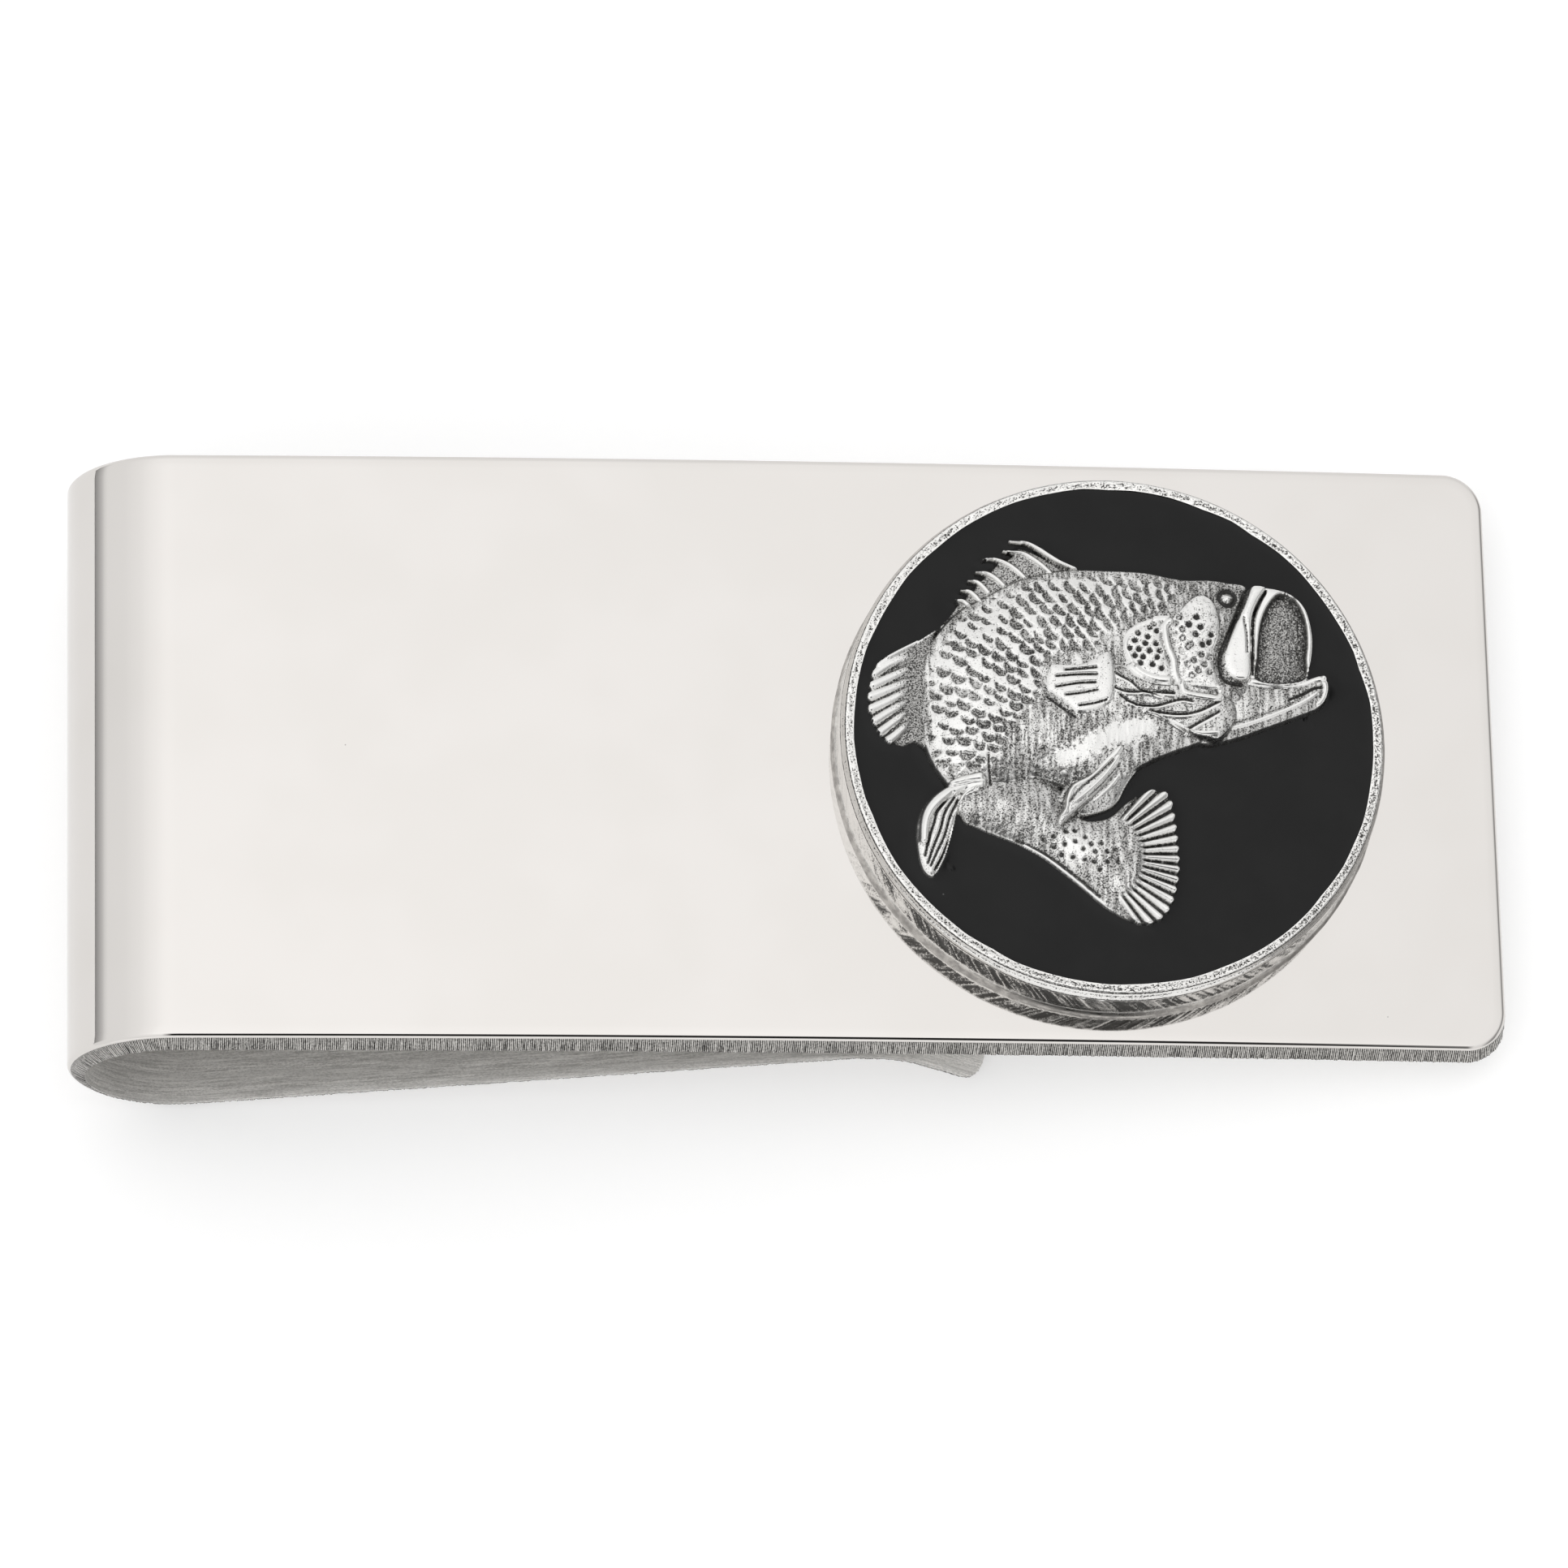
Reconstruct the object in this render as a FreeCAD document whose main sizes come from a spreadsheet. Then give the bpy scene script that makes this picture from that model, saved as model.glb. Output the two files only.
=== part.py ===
"""Money clip with a leaping bass medallion, built in millimetres.

The clip is one strip of sprung sheet metal folded back on itself, with a round medallion soldered to
its front.  It lies as it would on a table: on the underside of its fold and on the tip of its tongue.
+Z is up, +X runs from the fold to the open end and the origin is under the centre of its box.

Everything is first laid out in the strip's own frame, where the line between the two ends of the
front plate's outer face is the X axis, the fold's outermost line is at x = 0 and +Z leaves the outer
face.  rest_pose() then carries each finished piece into the lying frame.
"""
import FreeCAD, Part
import math
import os
import Sketcher
from FreeCAD import Placement, Rotation, Vector

# Driving dimensions, in millimetres and degrees.  Each one becomes an aliased cell of the sheet.
DRIVING = {
    "clip_length": 55.0,          # fold to open end, along the front plate
    "strip_width": 23.5,
    "strip_thickness": 0.7,
    "fold_radius": 4.15,          # outside of the bend
    "plate_camber": 0.5,          # rise of the front plate's middle over its ends
    "plate_corner_radius": 1.5,
    "crest_reach": 30.4,          # fold to the line where the tongue comes up to the plate
    "crest_radius": 3.5,          # face of the tongue that looks at the plate
    "crest_gap": 0.6,             # daylight between the empty clip's tongue and plate
    "flare_angle": 40.0,          # how steeply the tip turns away from the plate
    "flare_length": 3.4,
    "tip_corner_radius": 1.3,
    "medallion_reach": 39.83,     # fold to the medallion's centre
    "medallion_side_shift": -0.12,
    "solder_thickness": 0.08,
    "fillet_foot_radius": 10.72,  # solder drawn up round the medallion's foot
    "fillet_lip": 0.02,
    "fillet_height": 0.4,
    "medallion_radius": 10.57,
    "medallion_height": 2.25,
    "rim_bevel_in": 0.15,
    "rim_bevel_down": 0.5,
    "recess_radius": 10.06,
    "recess_depth": 0.6,
    "enamel_thickness": 0.45,
    "fin_height": 0.85,           # of the relief, above the floor of the recess
    "body_height": 1.55,
    "body_crown_radius": 46.0,
}

# The leaping bass, seen from above, in the medallion's own plane with its centre at (0, 0).
FISH_OUTLINE = [
    (5.9, 6.0), (7.2, 5.6), (7.7, 4.3), (7.5, 2.5), (8.3, 2.3), (8.0, 1.5), (7.2, 0.9), (5.9, 0.5),
    (3.9, -0.3), (1.8, -1.1), (0.7, -1.6), (0.0, -2.7), (0.4, -2.9), (1.8, -2.2), (2.3, -3.1),
    (2.4, -5.2), (2.1, -6.6), (1.0, -7.7), (-0.3, -7.0), (-1.2, -6.0), (-2.7, -5.0), (-4.2, -4.3),
    (-5.9, -3.4), (-6.4, -4.8), (-6.9, -5.6), (-7.4, -4.8), (-7.5, -3.8), (-7.1, -2.8), (-6.7, -2.1),
    (-7.3, -1.2), (-7.7, -0.5), (-8.7, -0.3), (-9.3, 0.7), (-9.1, 2.1), (-8.4, 2.9), (-7.0, 3.8),
    (-6.1, 5.0), (-5.2, 6.3), (-3.9, 7.6), (-1.7, 6.8), (0.8, 6.6), (2.7, 6.2), (4.2, 6.3),
]
BODY_OUTLINE = [
    (5.6, 5.9), (7.2, 5.3), (7.4, 2.7), (6.8, 1.1), (3.9, 0.0), (1.8, -0.8), (-0.4, -2.1),
    (-1.0, -3.3), (-0.2, -4.7), (-0.8, -5.8), (-2.7, -4.7), (-5.7, -3.1), (-6.4, -2.0),
    (-7.2, -0.6), (-7.1, 1.8), (-6.4, 3.6), (-5.0, 5.2), (-3.1, 6.2), (0.0, 6.5), (2.7, 6.0),
]


def driving_values(sheet):
    """The driving dimensions as they stand in the sheet, as plain numbers."""
    return {name: float(sheet.get(name)) for name in DRIVING}


def derived_values(s):
    """Sizes that follow from the driving ones: where the bend's and the crest's centres fall."""
    half_length = s["clip_length"] / 2
    half_thick = s["strip_thickness"] / 2
    camber_radius = half_length ** 2 / (2 * s["plate_camber"]) + s["plate_camber"] / 2
    camber_centre_drop = camber_radius - s["plate_camber"]
    # the bend's outer circle touches the cambered face from inside
    between = camber_radius - s["fold_radius"]
    across = half_length - s["fold_radius"]
    fold_drop = camber_centre_drop - math.sqrt(between ** 2 - across ** 2)
    # the tongue's top face comes up to the plate's under face, less the gap
    off_middle = s["crest_reach"] - half_length
    under_face = (math.sqrt((camber_radius - s["strip_thickness"]) ** 2 - off_middle ** 2)
                  - camber_centre_drop)
    crest_drop = s["crest_radius"] + s["crest_gap"] - under_face
    # the straight of the tongue is the inner tangent of the bend and the crest
    dx = s["crest_reach"] - s["fold_radius"]
    dz = fold_drop - crest_drop
    radii = s["fold_radius"] + s["crest_radius"] - s["strip_thickness"]
    tongue_slope = math.atan2(dz, dx) + math.asin(radii / math.hypot(dx, dz))
    # height of the cambered face, and its lean, under the medallion's centre
    from_middle = s["medallion_reach"] - half_length
    seat_height = math.sqrt(camber_radius ** 2 - from_middle ** 2) - camber_centre_drop
    return {
        "half_width": s["strip_width"] / 2,
        "fold_mid_radius": s["fold_radius"] - half_thick,
        "fold_drop": fold_drop,
        "camber_mid_radius": camber_radius - half_thick,
        "camber_centre_drop": camber_centre_drop,
        "half_length": half_length,
        "crest_mid_radius": s["crest_radius"] - half_thick,
        "crest_drop": crest_drop,
        "tongue_slope": math.degrees(tongue_slope),
        "seat_height": seat_height,
        "seat_lean": math.degrees(math.asin(from_middle / camber_radius)),
    }


def rest_pose(s):
    """The move from the strip's frame to the lying frame, resting on the bend and the tip."""
    flare = math.radians(s["flare_angle"])
    mid = s["crest_mid_radius"]
    crest_x = s["crest_reach"] + mid * math.sin(flare)
    crest_z = -s["crest_drop"] + mid * math.cos(flare)
    half_thick = s["strip_thickness"] / 2
    tip_x = crest_x + s["flare_length"] * math.cos(flare) - half_thick * math.sin(flare)
    tip_z = crest_z - s["flare_length"] * math.sin(flare) - half_thick * math.cos(flare)
    dx = tip_x - s["fold_radius"]
    dz = tip_z + s["fold_drop"]
    lean = math.atan2(dz, dx) + math.asin(s["fold_radius"] / math.hypot(dx, dz))
    turn = Rotation(Vector(0, 1, 0), math.degrees(lean))
    bend = turn.multVec(Vector(s["fold_radius"], 0, -s["fold_drop"]))
    open_end = turn.multVec(Vector(s["clip_length"], 0, 0))
    middle = (bend.x - s["fold_radius"] + open_end.x) / 2
    return Placement(Vector(-middle, 0, s["fold_radius"] - bend.z), turn)


def make_sheet(doc):
    sheet = doc.addObject("Spreadsheet::Sheet", "Sizes")
    row = 0

    def put(values):
        nonlocal row
        for name, value in values.items():
            row += 1
            sheet.set("A%d" % row, name)
            sheet.set("B%d" % row, repr(round(value, 9)))
            sheet.setAlias("B%d" % row, name)

    put(DRIVING)
    doc.recompute()
    put(derived_values(driving_values(sheet)))
    doc.recompute()
    return sheet


def bind(obj, **paths):
    """Binds properties to cells: bind(pad, Length="plate_height")."""
    for path, cell in paths.items():
        obj.setExpression(path.replace("__", "."), cell_path(cell))


def cell_path(formula):
    """Turns {name} in a formula into the sheet's cell of that alias."""
    return formula.replace("{", "Sizes.").replace("}", "")


def plane_of(body, role):
    return [f for f in body.Origin.OriginFeatures if f.Role == role][0]


def add_body(doc, name):
    body = doc.addObject("PartDesign::Body", name)
    body.Label = name
    return body


def add_sketch(body, name, role):
    sketch = body.newObject("Sketcher::SketchObject", name)
    sketch.AttachmentSupport = [(plane_of(body, role), "")]
    sketch.MapMode = "FlatFace"
    return sketch


def dimension(sketch, name, formula, *args):
    """Adds one named dimension to a sketch and binds it to a formula of cells."""
    index = sketch.addConstraint(Sketcher.Constraint(*args))
    sketch.renameConstraint(index, name)
    sketch.setExpression("Constraints." + name, cell_path(formula))


def arc(cx, cz, radius, start_deg, end_deg):
    circle = Part.Circle(Vector(cx, cz, 0), Vector(0, 0, 1), radius)
    return Part.ArcOfCircle(circle, math.radians(start_deg), math.radians(end_deg))


def strip_section(body, s, name):
    """The strip's cross-section where it is split, at the bend's outermost line."""
    section = add_sketch(body, name, "XY_Plane")
    section.AttachmentOffset = Placement(Vector(0, 0, -s["fold_drop"]), Rotation())
    section.setExpression("AttachmentOffset.Base.z", cell_path("-{fold_drop}"))
    half, thick = s["half_width"], s["strip_thickness"]
    corners = [Vector(0, -half, 0), Vector(thick, -half, 0), Vector(thick, half, 0), Vector(0, half, 0)]
    for i in range(4):
        section.addGeometry(Part.LineSegment(corners[i], corners[(i + 1) % 4]), False)
    for i in range(4):
        section.addConstraint(Sketcher.Constraint("Coincident", i, 2, (i + 1) % 4, 1))
    for i in (0, 2):
        section.addConstraint(Sketcher.Constraint("Horizontal", i))
        section.addConstraint(Sketcher.Constraint("Vertical", i + 1))
    section.addConstraint(Sketcher.Constraint("PointOnObject", 0, 1, -2))
    dimension(section, "half_width", "{half_width}", "DistanceY", 0, 1, -1, 1, half)
    dimension(section, "width", "{strip_width}", "DistanceY", 1, 1, 1, 2, 2 * half)
    dimension(section, "thickness", "{strip_thickness}", "DistanceX", 0, 1, 0, 2, thick)
    return section


def round_corners(body, pipe, name, cell, is_corner):
    """Rounds, in plan, the two short edges across the strip's thickness at its free end."""
    edges = []
    for i, edge in enumerate(pipe.Shape.Edges):
        if len(edge.Vertexes) == 2 and is_corner(edge):
            edges.append("Edge%d" % (i + 1))
    fillet = body.newObject("PartDesign::Fillet", name)
    fillet.Base = (pipe, edges)
    fillet.Radius = 1.0
    bind(fillet, Radius="{%s}" % cell)
    body.Tip = fillet
    return len(edges)


def free_end_edges(s, beyond):
    """A test for the edges across the thickness, further along X than the given reach."""
    def is_corner(edge):
        a, b = edge.Vertexes[0].Point, edge.Vertexes[1].Point
        along = (b - a)
        straight = abs(along.Length - s["strip_thickness"]) < 0.02
        return straight and abs(along.y) < 1e-6 and min(a.x, b.x) > beyond
    return is_corner


def make_front_plate(doc, s):
    """The upper half of the bend and the cambered front plate, swept as one strip."""
    body = add_body(doc, "front_plate")
    section = strip_section(body, s, "plate_section")
    path = add_sketch(body, "plate_path", "XZ_Plane")
    fold_x, fold_z, fold_r = s["fold_radius"], -s["fold_drop"], s["fold_mid_radius"]
    mid_x, mid_z, mid_r = s["half_length"], -s["camber_centre_drop"], s["camber_mid_radius"]
    meet = math.degrees(math.atan2(fold_z - mid_z, fold_x - mid_x))
    end = math.degrees(math.acos((s["clip_length"] - mid_x) / mid_r))
    path.addGeometry(arc(fold_x, fold_z, fold_r, meet, 180), False)
    path.addGeometry(arc(mid_x, mid_z, mid_r, end, meet), False)
    path.addConstraint(Sketcher.Constraint("Tangent", 0, 1, 1, 2))
    path.addConstraint(Sketcher.Constraint("Horizontal", 0, 2, 0, 3))
    dimension(path, "fold_radius", "{fold_mid_radius}", "Radius", 0, fold_r)
    dimension(path, "camber_radius", "{camber_mid_radius}", "Radius", 1, mid_r)
    dimension(path, "camber_x", "{half_length}", "DistanceX", -1, 1, 1, 3, mid_x)
    dimension(path, "camber_z", "{camber_centre_drop}", "DistanceY", 1, 3, -1, 1, -mid_z)
    dimension(path, "fold_x", "{fold_radius}", "DistanceX", -1, 1, 0, 3, fold_x)
    dimension(path, "end_x", "{clip_length}", "DistanceX", -1, 1, 1, 1, s["clip_length"])
    return finish_strip(doc, body, section, path, s, "plate", "plate_corner_radius",
                        s["clip_length"] - 1)


def make_spring_tongue(doc, s):
    """The lower half of the bend, the straight tongue, its crest and its flared tip."""
    body = add_body(doc, "spring_tongue")
    section = strip_section(body, s, "tongue_section")
    path = add_sketch(body, "tongue_path", "XZ_Plane")
    fold_x, fold_z, fold_r = s["fold_radius"], -s["fold_drop"], s["fold_mid_radius"]
    crest_x, crest_z, crest_r = s["crest_reach"], -s["crest_drop"], s["crest_mid_radius"]
    slope, flare = s["tongue_slope"], s["flare_angle"]
    fold_arc = arc(fold_x, fold_z, fold_r, 180, 270 + slope)
    crest_arc = arc(crest_x, crest_z, crest_r, 90 - flare, 90 + slope)
    reach = Vector(math.cos(math.radians(flare)), -math.sin(math.radians(flare)), 0)
    tip = crest_arc.StartPoint + reach * s["flare_length"]
    path.addGeometry(fold_arc, False)
    path.addGeometry(Part.LineSegment(fold_arc.EndPoint, crest_arc.EndPoint), False)
    path.addGeometry(crest_arc, False)
    path.addGeometry(Part.LineSegment(crest_arc.StartPoint, tip), False)
    path.addConstraint(Sketcher.Constraint("Tangent", 0, 2, 1, 1))
    path.addConstraint(Sketcher.Constraint("Tangent", 1, 2, 2, 2))
    path.addConstraint(Sketcher.Constraint("Tangent", 2, 1, 3, 1))
    path.addConstraint(Sketcher.Constraint("Horizontal", 0, 1, 0, 3))
    dimension(path, "fold_radius", "{fold_mid_radius}", "Radius", 0, fold_r)
    dimension(path, "fold_x", "{fold_radius}", "DistanceX", -1, 1, 0, 3, fold_x)
    dimension(path, "fold_z", "{fold_drop}", "DistanceY", 0, 3, -1, 1, -fold_z)
    dimension(path, "crest_radius", "{crest_mid_radius}", "Radius", 2, crest_r)
    dimension(path, "crest_x", "{crest_reach}", "DistanceX", -1, 1, 2, 3, crest_x)
    dimension(path, "crest_z", "{crest_drop}", "DistanceY", 2, 3, -1, 1, -crest_z)
    dimension(path, "flare_length", "{flare_length}", "Distance", 3, s["flare_length"])
    dimension(path, "flare_run", "{flare_length} * cos({flare_angle} * 1deg)", "DistanceX",
              3, 1, 3, 2, s["flare_length"] * math.cos(math.radians(flare)))
    return finish_strip(doc, body, section, path, s, "tongue", "tip_corner_radius",
                        s["crest_reach"] + s["crest_radius"])


def finish_strip(doc, body, section, path, s, name, corner_cell, beyond):
    doc.recompute()
    pipe = body.newObject("PartDesign::AdditivePipe", name + "_sweep")
    pipe.Profile = section
    pipe.Spine = (path, ["Edge%d" % (i + 1) for i in range(path.GeometryCount)])
    doc.recompute()
    rounded = round_corners(body, pipe, name + "_corners", corner_cell,
                            free_end_edges(s, beyond))
    if rounded != 2:
        raise RuntimeError("%s: %d corners rounded instead of 2" % (body.Label, rounded))
    for sketch in (section, path):
        sketch.Visibility = False
    return body


def add_disc(body, name, radius_cell, s):
    sketch = add_sketch(body, name, "XY_Plane")
    sketch.addGeometry(Part.Circle(Vector(), Vector(0, 0, 1), s[radius_cell]), False)
    sketch.addConstraint(Sketcher.Constraint("Coincident", 0, 3, -1, 1))
    dimension(sketch, "radius", "{%s}" % radius_cell, "Radius", 0, s[radius_cell])
    return sketch


def top_outer_edge(shape, radius):
    """The highest circular edge of that radius."""
    best = None
    for i, edge in enumerate(shape.Edges):
        if hasattr(edge.Curve, "Radius") and abs(edge.Curve.Radius - radius) < 1e-6:
            height = edge.CenterOfMass.z
            if best is None or height > best[0]:
                best = (height, "Edge%d" % (i + 1))
    return best[1]


def make_medallion(doc, s):
    """The medallion: a tray with a narrow raised rim that holds the enamel."""
    body = add_body(doc, "medallion")
    pad = body.newObject("PartDesign::Pad", "medallion_pad")
    pad.Profile = add_disc(body, "medallion_circle", "medallion_radius", s)
    bind(pad, Length="{medallion_height}")
    doc.recompute()
    full = pad.Shape.Volume
    recess_circle = add_disc(body, "recess_circle", "recess_radius", s)
    recess_circle.AttachmentOffset = Placement(Vector(0, 0, s["medallion_height"]), Rotation())
    recess_circle.setExpression("AttachmentOffset.Base.z", cell_path("{medallion_height}"))
    pocket = body.newObject("PartDesign::Pocket", "recess")
    pocket.Profile = recess_circle
    bind(pocket, Length="{recess_depth}")
    doc.recompute()
    removed = math.pi * s["recess_radius"] ** 2 * s["recess_depth"]
    if abs(full - pocket.Shape.Volume - removed) > 1e-3 * removed:
        raise RuntimeError("the recess cut %.3f mm3" % (full - pocket.Shape.Volume))
    bevel = body.newObject("PartDesign::Chamfer", "rim_bevel")
    bevel.Base = (pocket, [top_outer_edge(pocket.Shape, s["medallion_radius"])])
    bevel.ChamferType = "Two distances"
    bind(bevel, Size="{rim_bevel_in}", Size2="{rim_bevel_down}")
    doc.recompute()
    if bevel.Shape.BoundBox.ZMax - s["medallion_height"] > 1e-6:
        raise RuntimeError("the rim's bevel is upside down")
    return body


def smooth_face(points):
    """A closed smooth outline through the points, as a flat face."""
    curve = Part.BSplineCurve()
    curve.interpolate([Vector(x, y, 0) for x, y in points], PeriodicFlag=True)
    return Part.Face(Part.Wire([curve.toShape()]))


def make_bass_relief(doc, s, pose):
    """The bass: a low plate of fins under a crowned body, standing on the floor of the recess."""
    fins = smooth_face(FISH_OUTLINE).extrude(Vector(0, 0, s["fin_height"]))
    trunk = smooth_face(BODY_OUTLINE).extrude(Vector(0, 0, s["body_height"]))
    crown = Part.makeSphere(s["body_crown_radius"])
    crown.translate(Vector(0, 1, s["body_height"] - s["body_crown_radius"]))
    relief = doc.addObject("Part::Feature", "bass_relief")
    relief.Label = "bass_relief"
    relief.Shape = fins.fuse(trunk.common(crown)).removeSplitter()
    relief.Placement = pose
    return relief


def make_solder_layer(doc, s, plate, pose):
    """Solder between the flat medallion and the cambered plate, with a fillet round its foot."""
    slug = doc.addObject("Part::Cone", "solder_slug")
    bind(slug, Radius1="{fillet_foot_radius}", Radius2="{medallion_radius} + {fillet_lip}",
         Height="{fillet_height} + {strip_thickness} / 2")
    slug.Placement = pose.multiply(Placement(Vector(0, 0, -s["strip_thickness"] / 2), Rotation()))
    above = doc.addObject("Part::Cut", "solder_above_plate")
    above.Base = slug
    above.Tool = plate
    layer = doc.addObject("Part::Cut", "solder_layer")
    layer.Label = "solder_layer"
    layer.Base = above
    layer.Tool = make_foot(doc, s, pose)
    return layer


def make_foot(doc, s, pose):
    """The room that the medallion takes, tall enough to clear the top of the solder's cone."""
    foot = doc.addObject("Part::Cylinder", "medallion_foot")
    bind(foot, Radius="{medallion_radius}", Height="{medallion_height}")
    foot.Placement = pose.multiply(Placement(Vector(0, 0, s["solder_thickness"]), Rotation()))
    return foot


def make_enamel(doc, relief, pose):
    """Hard black enamel, poured round the relief and just short of the rim's top."""
    pool = doc.addObject("Part::Cylinder", "enamel_pool")
    bind(pool, Radius="{recess_radius}", Height="{enamel_thickness}")
    pool.Placement = pose
    enamel = doc.addObject("Part::Cut", "enamel_fill")
    enamel.Label = "enamel_fill"
    enamel.Base = pool
    enamel.Tool = relief
    return enamel


def build():
    doc = FreeCAD.newDocument("money_clip")
    sheet = make_sheet(doc)
    s = driving_values(sheet)
    s.update(derived_values(s))
    lying = rest_pose(s)

    plate = make_front_plate(doc, s)
    tongue = make_spring_tongue(doc, s)
    for strip in (plate, tongue):
        strip.Placement = lying
    doc.recompute()

    # the medallion, from the plate's face upwards
    seat = Placement(Vector(s["medallion_reach"], s["medallion_side_shift"], s["seat_height"]),
                     Rotation(Vector(0, 1, 0), s["seat_lean"]))

    def on_seat(height):
        return lying.multiply(seat).multiply(Placement(Vector(0, 0, height), Rotation()))

    solder = make_solder_layer(doc, s, plate, on_seat(0.0))
    medallion = make_medallion(doc, s)
    medallion.Placement = on_seat(s["solder_thickness"])
    floor = s["solder_thickness"] + s["medallion_height"] - s["recess_depth"]
    relief = make_bass_relief(doc, s, on_seat(floor))
    enamel = make_enamel(doc, relief, on_seat(floor))
    doc.recompute()
    return doc, [plate, tongue, solder, medallion, relief, enamel]


def check(doc, nodes):
    for obj in doc.Objects:
        if "Invalid" in obj.State or "Error" in obj.State:
            raise RuntimeError("%s did not recompute: %s" % (obj.Name, obj.State))
    for node in nodes:
        shape = node.Shape
        if shape.isNull() or not shape.isValid() or not shape.Solids:
            raise RuntimeError("%s has no valid solid" % node.Label)


def write(nodes):
    os.makedirs("parts", exist_ok=True)
    for node in nodes:
        node.Shape.exportStep("parts/%s.step" % node.Label)
        box = node.Shape.BoundBox
        print("%-14s %d solid(s) %9.2f mm3  x %7.2f %7.2f  y %7.2f %7.2f  z %6.2f %6.2f" % (
            node.Label, len(node.Shape.Solids), node.Shape.Volume,
            box.XMin, box.XMax, box.YMin, box.YMax, box.ZMin, box.ZMax))


document, pieces = build()
check(document, pieces)
write(pieces)
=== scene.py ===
import math

import bmesh
import bpy
import numpy as np
from mathutils import Matrix, Vector


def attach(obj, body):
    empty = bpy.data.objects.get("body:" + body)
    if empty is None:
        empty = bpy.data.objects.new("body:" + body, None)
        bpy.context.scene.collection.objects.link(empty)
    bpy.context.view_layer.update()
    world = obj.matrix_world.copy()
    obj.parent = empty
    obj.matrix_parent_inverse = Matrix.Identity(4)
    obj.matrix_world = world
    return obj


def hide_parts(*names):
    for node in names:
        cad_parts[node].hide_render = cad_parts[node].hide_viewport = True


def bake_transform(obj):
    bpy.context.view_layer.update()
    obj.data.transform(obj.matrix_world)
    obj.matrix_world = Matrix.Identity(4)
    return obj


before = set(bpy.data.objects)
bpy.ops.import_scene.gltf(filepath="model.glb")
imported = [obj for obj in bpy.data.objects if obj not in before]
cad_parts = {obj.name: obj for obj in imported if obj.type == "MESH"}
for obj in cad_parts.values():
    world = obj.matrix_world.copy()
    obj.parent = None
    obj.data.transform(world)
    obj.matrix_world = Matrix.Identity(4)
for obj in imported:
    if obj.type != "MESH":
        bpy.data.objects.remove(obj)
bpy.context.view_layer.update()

MM = 0.001

# ------------------------------------------------------------
# The clip's design sizes, in millimetres and degrees, as they stand in the CAD model.
# ------------------------------------------------------------
CLIP_LENGTH = 55.0
STRIP_WIDTH = 23.5
STRIP_THICKNESS = 0.7
FOLD_RADIUS = 4.15
PLATE_CAMBER = 0.5
PLATE_CORNER = 1.5
CREST_REACH = 30.4
CREST_RADIUS = 3.5
CREST_GAP = 0.6
FLARE_ANGLE = math.radians(40.0)
FLARE_LENGTH = 3.4
TIP_CORNER = 1.3
MEDALLION_REACH = 39.83
MEDALLION_SIDE_SHIFT = -0.12
SOLDER_THICKNESS = 0.08
FILLET_FOOT_RADIUS = 10.72
FILLET_HEIGHT = 0.4
MEDALLION_RADIUS = 10.57
MEDALLION_HEIGHT = 2.25
RIM_BEVEL_IN = 0.15
RIM_BEVEL_DOWN = 0.5
RECESS_RADIUS = 10.06
RECESS_DEPTH = 0.6
ENAMEL_THICKNESS = 0.45

HALF_LENGTH = CLIP_LENGTH / 2
HALF_WIDTH = STRIP_WIDTH / 2
CAMBER_RADIUS = HALF_LENGTH ** 2 / (2 * PLATE_CAMBER) + PLATE_CAMBER / 2
CAMBER_DROP = CAMBER_RADIUS - PLATE_CAMBER
FOLD_DROP = CAMBER_DROP - math.sqrt((CAMBER_RADIUS - FOLD_RADIUS) ** 2 - (HALF_LENGTH - FOLD_RADIUS) ** 2)
CREST_OFF_MIDDLE = CREST_REACH - HALF_LENGTH
UNDER_FACE = math.sqrt((CAMBER_RADIUS - STRIP_THICKNESS) ** 2 - CREST_OFF_MIDDLE ** 2) - CAMBER_DROP
CREST_DROP = CREST_RADIUS + CREST_GAP - UNDER_FACE
CREST_OUTER_RADIUS = CREST_RADIUS - STRIP_THICKNESS
CENTRES_X = CREST_REACH - FOLD_RADIUS
CENTRES_Z = FOLD_DROP - CREST_DROP
CENTRES_APART = math.hypot(CENTRES_X, CENTRES_Z)
TONGUE_SLOPE = (math.atan2(CENTRES_Z, CENTRES_X)
                + math.asin((FOLD_RADIUS + CREST_OUTER_RADIUS) / CENTRES_APART))
MEDALLION_OFF_MIDDLE = MEDALLION_REACH - HALF_LENGTH
SEAT_HEIGHT = math.sqrt(CAMBER_RADIUS ** 2 - MEDALLION_OFF_MIDDLE ** 2) - CAMBER_DROP
SEAT_LEAN = math.asin(MEDALLION_OFF_MIDDLE / CAMBER_RADIUS)

# heights above the medallion's seat
RIM_TOP = SOLDER_THICKNESS + MEDALLION_HEIGHT
RECESS_FLOOR = RIM_TOP - RECESS_DEPTH


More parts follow.
